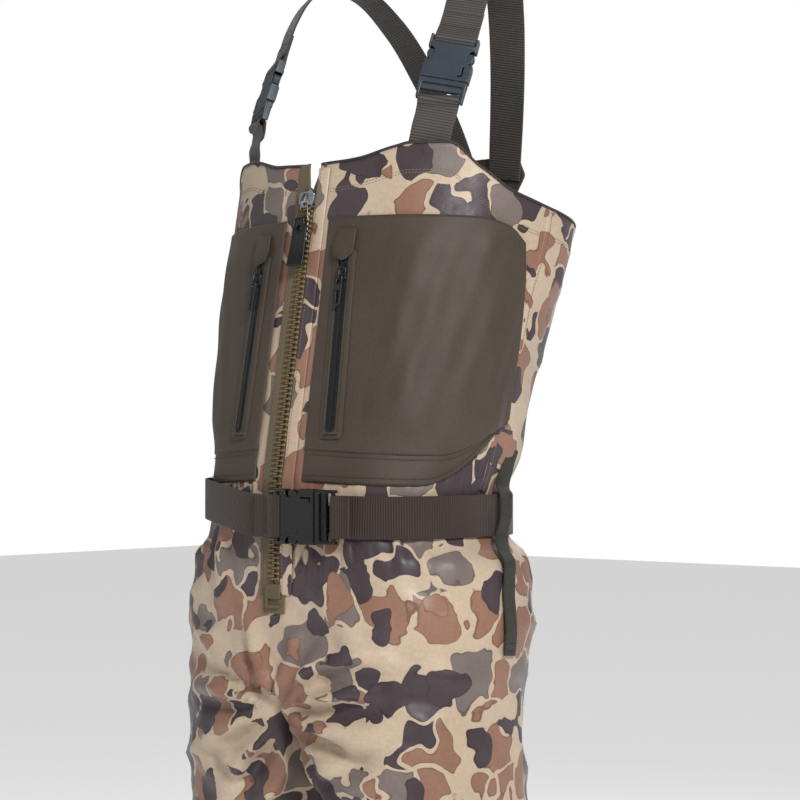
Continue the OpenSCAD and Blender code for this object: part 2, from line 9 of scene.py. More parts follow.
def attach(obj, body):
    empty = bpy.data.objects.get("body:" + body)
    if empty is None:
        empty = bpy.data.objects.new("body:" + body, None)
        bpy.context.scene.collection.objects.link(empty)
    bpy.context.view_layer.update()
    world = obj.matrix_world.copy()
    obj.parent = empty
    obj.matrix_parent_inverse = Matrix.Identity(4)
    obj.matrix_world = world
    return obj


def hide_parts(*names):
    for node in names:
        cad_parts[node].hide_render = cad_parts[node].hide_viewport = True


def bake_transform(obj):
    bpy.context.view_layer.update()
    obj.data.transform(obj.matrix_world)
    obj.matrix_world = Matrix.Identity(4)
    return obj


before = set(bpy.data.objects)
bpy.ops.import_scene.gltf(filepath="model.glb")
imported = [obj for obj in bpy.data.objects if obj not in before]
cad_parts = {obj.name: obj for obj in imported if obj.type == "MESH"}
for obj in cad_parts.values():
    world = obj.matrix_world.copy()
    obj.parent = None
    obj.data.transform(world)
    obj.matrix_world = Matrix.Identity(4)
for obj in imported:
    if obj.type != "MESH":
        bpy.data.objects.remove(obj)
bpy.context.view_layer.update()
BASE = "garment"
WHO = {1: "left", -1: "right"}

# ---------------------------------------------------------------- shapes shared with the CAD, in mm
TORSO = np.array([    # height, half width, half depth
    [796, 180, 112], [830, 185, 118], [868, 187, 122], [907, 184, 121], [938, 179, 117], [956, 156, 114],
    [1004, 150, 117], [1018, 152.5, 122], [1035, 154, 125], [1091, 162, 126], [1146, 168.5, 133],
    [1192, 174, 136], [1266, 179, 143], [1340, 182, 146]], float)
LEG = np.array([      # height, middle's x and y, half width, half depth
    [318, 105, 38, 70, 74], [350, 105, 32, 73, 78], [400, 103, 20, 76, 80], [470, 101, 8, 77, 82],
    [540, 100, 3, 79, 86], [610, 98, -3, 82, 91], [680, 96, -9, 86, 97], [740, 94, -14, 88, 103],
    [795.4, 91.5, -18, 88.5, 108]], float)
BOOT = np.array([     # height, y at the heel and at the toe, half width
    [20.4, 101, -202, 48], [36, 103, -199, 50], [50, 104, -190, 51], [64, 104, -174, 51], [75, 103, -152, 50],
    [84, 102, -124, 49], [91, 101, -92, 48], [98, 100, -60, 47], [108, 98, -30, 46], [128, 94, -14, 47],
    [165, 94, -14, 51], [220, 98, -20, 56], [280, 102, -26, 61], [330, 104, -28, 64]], float)
SQ = 2.4              # the exponent of the superellipses all sections are made of
BOOT_X = 105.0
SEAT_Z = 980          # the bib's lower edge and the trousers' upper edge meet here
LEG_END = 319.0
SIDE_SEAM = 91.15     # degrees round from the front
BIB_OPENING = 3.2
AROUND = 160          # the torso's mean radius, which turns an angle into a width of flat cloth
POCKET_WIDTH = 150.0
HEM_STITCHES = (27, 29.6)


def hermite(t, at, v, m):
    """Cubic interpolation of the values v at the stations, with the slopes m."""
    i = np.clip(np.searchsorted(at, t, side="right") - 1, 0, len(at) - 2)
    h = (at[1:] - at[:-1])[i]
    u = (t - at[i]) / h
    return ((2 * u**3 - 3 * u**2 + 1) * v[i] + (u**3 - 2 * u**2 + u) * h * m[i]
            + (3 * u**2 - 2 * u**3) * v[i + 1] + (u**3 - u**2) * h * m[i + 1])


def pchip(z, zs, vs):
    """Smooth interpolation that never overshoots the table."""
    z = np.clip(np.asarray(z, float), zs[0], zs[-1])
    d = np.diff(vs) / np.diff(zs)
    m = np.zeros(len(zs))
    m[0], m[-1] = d[0], d[-1]
    for i in range(1, len(zs) - 1):
        if d[i - 1] * d[i] > 0:
            m[i] = 2 * d[i - 1] * d[i] / (d[i - 1] + d[i])
    return hermite(z, zs, vs, m)


def sind(a):
    return np.sin(np.radians(a))


def cosd(a):
    return np.cos(np.radians(a))


def smooth(x, lo, hi):
    t = np.clip((np.asarray(x, float) - lo) / (hi - lo), 0, 1)
    return t * t * (3 - 2 * t)


def front_at(z):
    z = np.asarray(z, float)
    return -124 + np.where(z >= 1015, 0.171, 0.0327) * (z - 1015)


def ring(phi, a, b, n=SQ):
    s, c = sind(phi), cosd(phi)
    r = ((np.abs(s) / a) ** n + (np.abs(c) / b) ** n) ** (-1 / n)
    return r * s, -r * c


def ring_normal(x, y, a, b, n=SQ):
    u = np.sign(x) * (np.abs(x) / a) ** (n - 1) / a
    v = np.sign(y) * (np.abs(y) / b) ** (n - 1) / b
    l = np.hypot(u, v)
    return u / l, v / l


def waves(s, z, seed, count, length, tilt=None):
    """A smooth bounded field: a sum of plane waves of about the given length."""
    r = np.random.RandomState(seed)
    out = np.zeros(np.broadcast(s, z).shape)
    for _ in range(count):
        a = r.uniform(0, 2 * math.pi) if tilt is None else tilt + r.normal(0, 0.35)
        k = 2 * math.pi / (length * r.uniform(0.7, 1.5))
        out += np.sin(k * (np.cos(a) * s + np.sin(a) * z) + r.uniform(0, 6.28))
    return out / math.sqrt(count)


def ridged(f):
    """Turns a wave field into narrow ridges with broad hollows."""
    return (1 - np.abs(np.tanh(f))) ** 1.6


def bib_top(phi):
    p = np.abs((np.asarray(phi, float) + 180) % 360 - 180)
    zs = np.array([0, 20, 34, 39, 51, 62, 75, 95, 130, 180], float)
    return pchip(p, zs, np.array([1320, 1323, 1332, 1335, 1335, 1311, 1288, 1275, 1262, 1250], float))


def bib_push(phi, z):
    """How far the bib's cloth stands off its plain section."""
    x = 160 * sind(phi)
    s = np.radians(phi) * 150
    free = smooth(np.abs(x), 14, 46) + (cosd(phi) < 0)
    free = np.clip(free, 0, 1)
    up = smooth(z, 1001, 1040)
    out = 1.7 * waves(s, z, 3, 7, 150) + 0.7 * waves(s, z, 5, 9, 60)
    out = out * up
    pucker = np.exp(-((z - 1008) / 17.0) ** 2) * (z > 1000)
    out = out + 2.4 * pucker * ridged(1.3 * waves(s, z * 0.2, 9, 6, 34, tilt=0.0))
    back = smooth(-cosd(phi), 0.0, 0.5)
    out = out + 2.2 * back * up * ridged(1.2 * waves(s, z, 21, 6, 120, tilt=1.3)) - 1.0 * back
    out = np.clip(out, -4, 5.5) * free
    p = np.abs((phi + 180) % 360 - 180)
    under = smooth(p, pocket_in(z) - 0.4, pocket_in(z) + 1.2) * smooth(pocket_out(z) - p, -1.0, 2.5)
    low = pocket_low(np.clip((p - 14) / 76, 0, 1))
    under = under * smooth(z, low - 4, low + 3) * smooth(1268 - z, 0, 6)
    return out * (1 - under) + np.minimum(out, 0.2) * under * 0.5


def torso(phi, z, off=0.0, push=True):
    phi, z = np.broadcast_arrays(np.asarray(phi, float), np.asarray(z, float))
    a, b = pchip(z, TORSO[:, 0], TORSO[:, 1]), pchip(z, TORSO[:, 0], TORSO[:, 2])
    x, y = ring(phi, a, b)
    nx, ny = ring_normal(x, y, a, b)
    o = off + (bib_push(phi, z) if push else 0)
    return np.stack([x + o * nx, y + o * ny + front_at(z) + b, z], -1)


def torso_flat(phi, z, off):
    return torso(phi, z, off, push=False)


def torso_normal(phi, z):
    d = 0.4
    u = torso(phi + d, z) - torso(phi - d, z)
    v = torso(phi, z + 2) - torso(phi, z - 2)
    n = np.cross(u, v)
    return unit(n)


# ---------------------------------------------------------------- mesh helpers
MOULDED = ("belt_buckle", "strap_buckle", "slider_metal", "zip_teeth", "pocket_slider_black", "rivet_black")


def link(name, data):
    o = bpy.data.objects.new(name, data)
    bpy.context.scene.collection.objects.link(o)
    return o


def make(name, verts, faces, mats, body=BASE, slot=None, replaces=(), mat_index=None, sharp=None, uv=None):
    """A mesh piece from millimetre points. uv gives each point its place on the flat cloth, in metres."""
    me = bpy.data.meshes.new(name)
    points = np.asarray(verts, float) * 0.001
    me.from_pydata([tuple(v) for v in points], [], [tuple(int(i) for i in f) for f in faces])
    me.validate()
    mats = mats if isinstance(mats, (list, tuple)) else [mats]
    for m in mats:
        me.materials.append(m)
    if mat_index is not None:
        me.polygons.foreach_set("material_index", np.asarray(mat_index, np.int32))
    if uv is not None:
        flat = np.zeros((len(uv), 3), np.float32)
        flat[:, :2] = uv
        me.attributes.new("cloth", "FLOAT_VECTOR", "POINT").data.foreach_set("vector", flat.ravel())
    me.shade_smooth()
    if sharp:
        me.set_sharp_from_angle(angle=math.radians(sharp))
    o = link(name, me)
    if body:
        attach(o, body)
    if slot in MOULDED:
        even = o.modifiers.new("even_shading", "WEIGHTED_NORMAL")
        even.keep_sharp = True
        even.weight = 90
    if replaces:
        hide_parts(*replaces)
    return o


class Parts:
    """Collects point and face arrays into one mesh."""

    def __init__(self):
        self.v, self.f, self.m, self.uv, self.n = [], [], [], [], 0

    def add(self, verts, faces, mat=0, frame_=None, uv=None):
        v = np.asarray(verts, float).reshape(-1, 3)
        self.uv.append(np.zeros((len(v), 2)) if uv is None else np.asarray(uv, float).reshape(-1, 2))
        if frame_ is not None:
            v = moved(v, frame_)
        if frame_ is not None and np.linalg.det(frame_[:3, :3]) < 0:
            faces = flipped(faces)
        self.v.append(v)
        self.f += [tuple(i + self.n for i in f) for f in faces]
        self.m += [mat] * len(faces)
        self.n += len(v)

    def piece(self, name, mats, **k):
        uv = np.concatenate(self.uv)
        return make(name, np.concatenate(self.v), self.f, mats, mat_index=self.m, uv=uv, **k)


def flipped(faces, on=True):
    return [tuple(reversed(q)) for q in faces] if on else faces


def caps(n, k):
    """The two end faces of n rings of k points."""
    return [tuple(range(k))[::-1], tuple((n - 1) * k + j for j in range(k))]


def moved(points, m):
    return np.asarray(points, float) @ m[:3, :3].T + m[:3, 3]


def runs(p):
    """The distance run along a path at each of its points."""
    return np.concatenate([[0], np.cumsum(np.linalg.norm(np.diff(p, axis=0), axis=1))])


def unit(v):
    return v / np.linalg.norm(v, axis=-1, keepdims=True)


def grid_faces(nr, nc, wrap=False, flip=False, base=0):
    out = []
    for i in range(nr - 1):
        for j in range(nc if wrap else nc - 1):
            k = (j + 1) % nc
            q = (base + i * nc + j, base + i * nc + k, base + (i + 1) * nc + k, base + (i + 1) * nc + j)
            out.append(q[::-1] if flip else q)
    return out


def shell(outer, inner, wrap=False):
    """Closes an outer and an inner grid into one solid; the last list is 1 for inner and edge faces."""
    nr, nc = outer.shape[:2]
    k = nr * nc
    v = np.concatenate([outer.reshape(-1, 3), inner.reshape(-1, 3)])
    f = grid_faces(nr, nc, wrap)
    m = [0] * len(f)
    g = grid_faces(nr, nc, wrap, True, k)
    f += g
    m += [1] * len(g)
    e = []
    for j in range(nc if wrap else nc - 1):
        b = (j + 1) % nc
        e.append((j, k + j, k + b, b))
        t = (nr - 1) * nc
        e.append((t + j, t + b, k + t + b, k + t + j))
    if not wrap:
        for i in range(nr - 1):
            a, b = i * nc, (i + 1) * nc
            e.append((a, b, k + b, k + a))
            a, b = a + nc - 1, b + nc - 1
            e.append((a, k + a, k + b, b))
    return v, f + e, m + [1] * len(e)


def tube(path, r, seg=8, closed=False):
    p = np.asarray(path, float)
    n = len(p)
    t = np.roll(p, -1, 0) - np.roll(p, 1, 0) if closed else np.gradient(p, axis=0)
    t = unit(t)
    up = np.array([0, 0, 1.0]) if abs(t[0][2]) < 0.9 else np.array([1.0, 0, 0])
    turn = np.linspace(0, 2 * math.pi, seg, endpoint=False)
    v = []
    for i in range(n):
        a = up - t[i] * (up @ t[i])
        a = unit(a)
        up = a
        b = np.cross(t[i], a)
        rr = r[i] if hasattr(r, "__len__") else r
        v += [p[i] + rr * (math.cos(w) * a + math.sin(w) * b) for w in turn]
    f = grid_faces(n, seg, True)
    if closed:
        f += [((n - 1) * seg + j, (n - 1) * seg + (j + 1) % seg, (j + 1) % seg, j) for j in range(seg)]
    else:
        f += caps(n, seg)
    return np.array(v), f


def spline(points, n):
    """A smooth curve through the points."""
    p = np.asarray(points, float)
    d = runs(p)
    t = np.linspace(0, d[-1], n)
    return np.stack([hermite(t, d, q, np.gradient(q, d)) for q in p.T], -1)


def ribbon(path, across, width, thick, rib=None):
    """Webbing: a rounded flat section swept along a path, thickened by rib[i] at station i."""
    p = np.asarray(path, float)
    w = np.asarray(across, float)
    t = np.gradient(p, axis=0)
    t = unit(t)
    w = w - t * np.sum(w * t, 1, keepdims=True)
    w = unit(w)
    n = np.cross(w, t)
    hw, ht = width / 2, thick / 2
    flat = np.linspace(-1, 1, 7) * (hw - 1.4)
    side = [(hw - 0.5, 0.9), (hw - 0.12, 0.55), (hw, 0), (hw - 0.12, -0.55), (hw - 0.5, -0.9)]
    sec = [(q, 1.0) for q in flat] + side + [(-q, -1.0) for q in flat] + [(-a, -b) for a, b in side]
    sec = np.array(sec)
    grow = np.full(len(p), ht) + (0 if rib is None else np.asarray(rib))
    v = p[:, None] + w[:, None] * sec[None, :, :1] + n[:, None] * (sec[None, :, 1:] * grow[:, None, None])
    k = len(sec)
    f = grid_faces(len(p), k, True)
    f += caps(len(p), k)
    run = runs(p)
    uv = np.stack(np.broadcast_arrays(sec[None, :, 0], run[:, None]), -1).reshape(-1, 2) * 0.001
    return v.reshape(-1, 3), flipped(f), uv


def webbing_path(points, across, step=0.8):
    """Resamples a strap's path and its across directions."""
    p = np.asarray(points, float)
    n = max(8, int(np.linalg.norm(np.diff(p, axis=0), axis=1).sum() / step))
    both = spline(np.concatenate([p, np.asarray(across, float) * 40], 1), n)
    return both[:, :3], both[:, 3:]


def plate(loops, y0, y1, bevel=0.8, res=2):
    """A flat plate with rounded edges from y0 (front) to y1: (x, z) outlines, the outer one first."""
    cu = bpy.data.curves.new("plate", "CURVE")
    cu.dimensions = "2D"
    cu.fill_mode = "BOTH"
    cu.extrude = max((y1 - y0) / 2 - bevel, 0.001)
    cu.bevel_depth = bevel
    cu.bevel_resolution = res
    cu.offset = -bevel
    for loop in loops:
        s = cu.splines.new("POLY")
        s.points.add(len(loop) - 1)
        for q, (a, b) in zip(s.points, loop):
            q.co = (a, b, 0, 1)
        s.use_cyclic_u = True
    o = link("plate", cu)
    bpy.context.view_layer.update()
    me = bpy.data.meshes.new_from_object(o.evaluated_get(bpy.context.evaluated_depsgraph_get()))
    bm = bmesh.new()
    bm.from_mesh(me)
    bmesh.ops.remove_doubles(bm, verts=bm.verts, dist=0.01)
    v = np.array([x.co[:] for x in bm.verts])
    f = [tuple(x.index for x in q.verts) for q in bm.faces]
    bm.free()
    bpy.data.objects.remove(o)
    bpy.data.curves.remove(cu)
    bpy.data.meshes.remove(me)
    v = np.stack([v[:, 0], (y0 + y1) / 2 - v[:, 2], v[:, 1]], -1)
    return v, f


def rounded(corners, r, n=5):
    """An outline with rounded corners; r is one radius or one for each corner."""
    c = np.array(corners, float)
    rr = r if hasattr(r, "__len__") else [r] * len(c)
    out = []
    for i in range(len(c)):
        a, b, d = c[i - 1], c[i], c[(i + 1) % len(c)]
        u, w = (a - b) / np.linalg.norm(a - b), (d - b) / np.linalg.norm(d - b)
        half = math.acos(max(-1, min(1, float(u @ w)))) / 2
        t = min(rr[i] / math.tan(half), 0.49 * np.linalg.norm(a - b), 0.49 * np.linalg.norm(d - b))
        if t < 0.05:
            out.append(tuple(b))
            continue
        p0, p1 = b + u * t, b + w * t
        for k in np.linspace(0, 1, n):
            out.append(tuple((1 - k) ** 2 * p0 + 2 * k * (1 - k) * b + k * k * p1))
    return out


def rect(x0, z0, x1, z1):
    return [(x0, z0), (x1, z0), (x1, z1), (x0, z1)]


def slab(parts, m, corners, r, y0, y1, bevel, mat=0, n=5, holes=()):
    """Adds a plate with rounded corners."""
    parts.add(*plate([rounded(corners, r, n), *holes], y0, y1, bevel), mat, m)


def block(lo, hi, r=0.5, seg=2):
    """A box with rounded edges."""
    bm = bmesh.new()
    bmesh.ops.create_cube(bm, size=1.0)
    lo, hi = np.array(lo, float), np.array(hi, float)
    for q in bm.verts:
        q.co = Vector((lo + hi) / 2 + np.array(q.co) * (hi - lo))
    r = min(r, 0.45 * float((hi - lo).min()))
    if r > 0:
        bmesh.ops.bevel(bm, geom=list(bm.edges), offset=r, segments=seg, profile=0.5, affect="EDGES")
    v = np.array([q.co[:] for q in bm.verts])
    f = [tuple(x.index for x in q.verts) for q in bm.faces]
    bm.free()
    return v, f


def lathe(profile, seg=24):
    """Turns (radius, height) points about Z."""
    p = np.array(profile, float)
    w = np.linspace(0, 2 * math.pi, seg, endpoint=False)
    x, y = np.outer(p[:, 0], np.cos(w)), np.outer(p[:, 0], np.sin(w))
    v = np.stack([x, y, np.repeat(p[:, 1:2], seg, 1)], -1)
    f = grid_faces(len(p), seg, True)
    f += caps(len(p), seg)
    return v.reshape(-1, 3), f


def stitches(parts, path, normals, pitch=3.4, length=2.5, r=0.34, mat=0, lift=0.1):
    """A row of thread dashes along a path that lies on a surface."""
    p = np.asarray(path, float)
    nn = np.asarray(normals, float)
    d = runs(p)
    s = np.arange(pitch * 0.5, d[-1], pitch)
    at = np.stack([np.interp(s, d, p[:, k]) for k in range(3)], -1)
    nm = np.stack([np.interp(s, d, nn[:, k]) for k in range(3)], -1)
    ah = np.stack([np.interp(np.minimum(s + 1, d[-1]), d, p[:, k]) for k in range(3)], -1)
    be = np.stack([np.interp(np.maximum(s - 1, 0), d, p[:, k]) for k in range(3)], -1)
    t = ah - be
    t = unit(t)
    nm = unit(nm)
    b = np.cross(t, nm)
    for c, u, n, w in zip(at, t, nm, b):
        ring_ = []
        for q, k in ((-0.5, 0.35), (-0.32, 1.0), (0.32, 1.0), (0.5, 0.35)):
            o = c + u * length * q + n * (lift - (0.25 if k < 1 else 0))
            ring_ += [o + w * r * k, o + n * r * k * 0.9, o - w * r * k, o - n * r * k * 0.5]
        parts.add(ring_, grid_faces(4, 4, True) + [(3, 2, 1, 0), (12, 13, 14, 15)], mat)


def stitch_on(parts, line, m, **look):
    """Stitches along a line given in the frame m, on the side that faces its -Y."""
    at = moved(line, m)
    stitches(parts, at, np.broadcast_to(-m[:3, 1], at.shape), **look)


def place(o, up, out):
    """The CAD's place(): +Z along up, -Y facing out."""
    z = np.array(up, float) / np.linalg.norm(up)
    n = np.array(out, float) - z * np.dot(out, z)
    n = unit(n)
    m = np.eye(4)
    m[:3, 0], m[:3, 1], m[:3, 2], m[:3, 3] = np.cross(z, n), -n, z, o
    return m


def mirrored(a, side):
    return np.asarray(a, float) * [side, 1, 1]


def shift(x, y, z):
    m = np.eye(4)
    m[:3, 3] = (x, y, z)
    return m


MIRROR = np.diag([-1.0, 1.0, 1.0, 1.0])


def lin(*rgb):
    """A colour from 0 to 255 as shader values."""
    return tuple(c / 12.92 if c <= 0.04045 else ((c + 0.055) / 1.055) ** 2.4 for c in np.array(rgb) / 255)


SHADER_INPUTS = {"rough": "Roughness", "specular": "Specular IOR Level", "sheen": "Sheen Weight",
                 "sheen_rough": "Sheen Roughness", "metal": "Metallic", "coat": "Coat Weight"}


class Mat:
    """Builds one procedural material."""

    def __init__(self, name, rough, **inputs):
        self.m = bpy.data.materials.new(name)
        self.m.use_nodes = True
        self.t = self.m.node_tree
        self.b = self.t.nodes["Principled BSDF"]
        values = dict(specular=0.4, sheen=0.0, sheen_rough=0.5, metal=0.0, coat=0.0, rough=rough)
        values.update(inputs)
        for k, v in values.items():
            self.b.inputs[SHADER_INPUTS[k]].default_value = v

    def node(self, kind, inputs=(), **props):
        """A node with its properties and inputs set; inputs are values or links, by name or number."""
        n = self.t.nodes.new("ShaderNode" + kind)
        for k, v in props.items():
            setattr(n, k, v)
        for k, v in dict(inputs).items():
            self.put(n.inputs[k], v)
        return n

    def put(self, socket, value):
        if isinstance(value, bpy.types.NodeSocket):
            self.t.links.new(value, socket)
        else:
            socket.default_value = value

    def coords(self):
        return self.node("TexCoord").outputs["Object"]

    def split(self, vec):
        return self.node("SeparateXYZ", {0: vec}).outputs

    def mapping(self, vec, scale=(1, 1, 1), move=(0, 0, 0)):
        return self.node("Mapping", {"Vector": vec, "Scale": scale, "Location": move}).outputs[0]

    def math(self, op, a, b=0.0):
        return self.node("Math", {0: a, 1: b, 2: 0.0}, operation=op).outputs[0]

    def add(self, a, b):
        return self.math("ADD", a, b)

    def times(self, a, b):
        return self.math("MULTIPLY", a, b)

    def over(self, a, b):
        return self.math("GREATER_THAN", a, b)

    def sine(self, a, pitch):
        return self.math("SINE", self.times(a, 2 * math.pi / pitch))

    def vmath(self, op, a, b):
        return self.node("VectorMath", {0: a, "Scale" if op == "SCALE" else 1: b}, operation=op).outputs[0]

    def noise(self, vec, scale, detail=2.0, rough=0.5, color=False):
        n = self.node("TexNoise", {"Vector": vec, "Scale": scale, "Detail": detail, "Roughness": rough})
        return n.outputs["Color" if color else "Fac"]

    def cells(self, vec, scale, feature="F1", out="Distance"):
        n = self.node("TexVoronoi", {"Vector": vec, "Scale": scale, "Randomness": 0.9}, feature=feature)
        return n.outputs[out]

    def step(self, value, lo, hi):
        n = self.node("MapRange", {"Value": value, "From Min": lo, "From Max": hi},
                      interpolation_type="SMOOTHSTEP", clamp=True)
        return n.outputs["Result"]

    def mix(self, fac, a, b, blend="MIX"):
        a, b = ((*q, 1) if isinstance(q, tuple) else q for q in (a, b))
        return self.node("Mix", {0: fac, 6: a, 7: b}, data_type="RGBA", blend_type=blend).outputs[2]

    def shade(self, color, fac, low, high):
        """Multiplies a colour by a grey between low and high."""
        return self.mix(1.0, color, self.mix(fac, (low,) * 3, (high,) * 3), "MULTIPLY")

    def bump(self, height, strength, distance=0.001, normal=None):
        n = self.node("Bump", {"Strength": strength, "Distance": distance, "Height": height})
        if normal is not None:
            self.put(n.inputs["Normal"], normal)
        return n.outputs[0]

    def finish(self, color, rough=None, normal=None):
        for name, value in (("Base Color", color), ("Roughness", rough), ("Normal", normal)):
            if value is not None:
                self.put(self.b.inputs[name], value)
        return self.m


# ---------------------------------------------------------------- materials


def patches(m, p, seed, size, radius, gap, warp):
    """Lobed patches, one to a cell: the mask, its part inside a thin rim and the cell's random colour."""
    q = m.mapping(p, move=seed)
    for wide, share in ((0.025, 1.0), (0.013, 0.25)):
        w = m.vmath("SUBTRACT", m.noise(q, 1 / wide, 0, color=True), (0.5, 0.5, 0.5))
        q = m.vmath("ADD", q, m.vmath("SCALE", w, warp * share))
    near = m.cells(q, 1 / size)
    edge = m.cells(q, 1 / size, feature="DISTANCE_TO_EDGE")
    pick = m.cells(q, 1 / size, out="Color")
    inside = m.math("MINIMUM", edge, m.math("SUBTRACT", radius / size, near))
    g = gap / 2 / size
    mask = m.step(inside, g - 0.0004 / size, g + 0.0004 / size)
    core = m.step(inside, g + 0.0006 / size, g + 0.0013 / size)
    return mask, core, m.node("SeparateColor", {0: pick}).outputs


def fine_weave(m, p, pitch, strength, distance=0.00012, normal=None):
    """A plain weave: crossed threads in object space."""
    x, y, z = m.split(p)
    a = m.sine(m.add(x, m.times(y, 0.8)), pitch)
    b = m.sine(z, pitch)
    h = m.add(m.times(m.times(a, b), 0.5), m.noise(p, 900, 2, 0.6))
    return m.bump(h, strength, distance, normal)


def camo(name):
    """Printed duck-hunting camouflage on a laminated cloth."""
    m = Mat(name, rough=0.62, specular=0.32, sheen=0.08, sheen_rough=0.5)
    p = m.coords()
    tone = m.noise(p, 11, 2)
    cream = m.mix(tone, lin(174, 153, 131), lin(203, 183, 160))
    brown = m.mix(tone, lin(124, 88, 72), lin(158, 119, 99))
    plum = m.mix(tone, lin(48, 39, 43), lin(82, 69, 74))
    grey = m.mix(tone, lin(94, 84, 81), lin(132, 119, 113))
    c = cream
    first = patches(m, p, (0.31, 1.7, 4.4), 0.0465, 0.0300, 0.0044, 0.031)
    kind = first[2][0]
    shown = m.times(first[0], m.math("LESS_THAN", first[2][1], 0.97))
    tint = m.mix(m.over(kind, 0.47), brown, grey)
    tint = m.mix(m.over(kind, 0.68), tint, plum)
    dark = m.mix(1.0, tint, (0.62, 0.60, 0.60), "MULTIPLY")
    c = m.mix(shown, c, m.mix(first[1], dark, tint))
    second = patches(m, p, (5.2, 3.1, 0.4), 0.048, 0.0222, 0.006, 0.031)
    on = m.times(second[0], m.math("LESS_THAN", second[2][1], 0.86))
    over = m.mix(m.over(second[2][0], 0.80), plum, brown)
    c = m.mix(on, c, m.mix(second[1], m.mix(1.0, over, (0.6, 0.58, 0.58), "MULTIPLY"), over))
    c = m.shade(c, m.step(m.noise(p, 300, 3, 0.7), 0.35, 0.75), 0.93, 1.05)
    n = m.bump(m.noise(m.mapping(p, scale=(1, 1, 0.6)), 38, 3, 0.55), 0.5, 0.0018)
    return m.finish(c, m.step(m.noise(p, 60, 2), -0.4, 1.7), fine_weave(m, p, 0.0011, 0.35, normal=n))


def cloth(name, low, high, rough=0.6, sheen=0.15, pitch=0.0009, ripple=0.0, weave=0.35, coat=0.0):
    """A plain dyed cloth with soft tone changes, a weave and optional shallow ripples."""
    m = Mat(name, rough=rough, specular=0.35, sheen=sheen, sheen_rough=0.4, coat=coat)
    p = m.coords()
    c = m.mix(m.noise(p, 14, 3), lin(*low), lin(*high))
    c = m.shade(c, m.step(m.noise(p, 700, 2, 0.6), 0.3, 0.7), 0.86, 1.08)
    n = None
    if ripple:
        n = m.bump(m.noise(m.mapping(p, scale=(1, 1, 0.25)), 26, 2, 0.5), ripple, 0.002)
    r = m.add(rough - 0.08, m.times(m.noise(p, 35, 2), 0.16))
    return m.finish(c, r, fine_weave(m, p, pitch, weave, normal=n))


def webbing(name, low, high, pitch=0.0028, rib=0.6):
    """Woven webbing: cross ribs and lengthwise yarns follow the strap's own coordinates; the colour carries
    painted shade in their hollows and a painted highlight on their tops.
    """
    m = Mat(name, rough=0.62, specular=0.35, sheen=0.2, sheen_rough=0.4)
    p = m.coords()
    a = m.node("Attribute", attribute_name="cloth").outputs["Vector"]
    x, y, _ = m.split(a)
    ribs = m.sine(y, pitch)
    yarn = m.sine(x, 0.0013)
    fine = m.sine(y, 0.0009)
    twill = m.times(yarn, fine)
    h = m.add(m.times(ribs, 0.5), m.add(m.times(yarn, 0.18), m.times(twill, 0.22)))
    # painted shade and highlight: the colour is darker in the weave's hollows and lighter on its tops
    shade = m.step(h, -0.6, 0.55)
    c = m.shade(m.mix(m.noise(p, 20, 3), lin(*low), lin(*high)), shade, 0.42, 1.25)
    fuzz = m.noise(p, 1200, 2, 0.7)
    return m.finish(c, None, m.bump(m.add(h, m.times(fuzz, 0.5)), rib, 0.0004))


def plastic(name, low, high, rough=0.42, grain=0.12):
    """Moulded plastic with a fine spark-eroded grain; its sharp edges get a painted highlight, a lighter
    colour, and a lower roughness from polish by use.
    """
    m = Mat(name, rough=rough, specular=0.5)
    p = m.coords()
    c = m.mix(m.noise(p, 60, 3), lin(*low), lin(*high))
    edge = m.step(m.node("NewGeometry").outputs["Pointiness"], 0.52, 0.62)
    # painted highlight: the colour is lightened on the sharp edges, where light catches the rim
    c = m.mix(m.times(edge, 0.5), c, lin(*[min(255, q * 1.35 + 12) for q in high]))
    r = m.add(rough - 0.06, m.times(m.noise(p, 250, 2), 0.14))
    r = m.math("SUBTRACT", r, m.times(edge, 0.08))
    return m.finish(c, r, m.bump(m.noise(p, 2200, 2, 0.6), grain, 0.0002))


def metal(name, low, high, rough=0.3, wear=(200, 195, 185)):
    """Plated metal with fine scratches and rubbed edges."""
    m = Mat(name, rough=rough, metal=1.0)
    p = m.coords()
    c = m.mix(m.noise(p, 120, 3), lin(*low), lin(*high))
    edge = m.step(m.node("NewGeometry").outputs["Pointiness"], 0.53, 0.62)
    c = m.mix(m.times(edge, 0.6), c, lin(*wear))
    scratch = m.noise(m.mapping(p, scale=(1, 1, 14)), 380, 2, 0.6)
    r = m.add(rough - 0.1, m.times(scratch, 0.22))
    return m.finish(c, r, m.bump(scratch, 0.12, 0.0001))


def rubber(name, low, high, rough=0.55, scuff=0.5):
    """Moulded rubber with bloom and scuffs."""
    m = Mat(name, rough=rough, specular=0.4)
    p = m.coords()
    c = m.mix(m.noise(p, 18, 4, 0.6), lin(*low), lin(*high))
    marks = m.step(m.noise(m.mapping(p, scale=(1, 1, 3)), 55, 5, 0.7), 0.56, 0.72)
    c = m.mix(m.times(marks, scuff * 0.5), c, lin(*[min(255, q * 1.3 + 14) for q in high]))
    r = m.add(rough - 0.08, m.times(m.noise(p, 40, 4), 0.22))
    n = m.bump(m.noise(p, 30, 3, 0.5), 0.15, 0.002)
    return m.finish(c, r, m.bump(m.noise(p, 1300, 3, 0.6), 0.25, 0.0003, n))


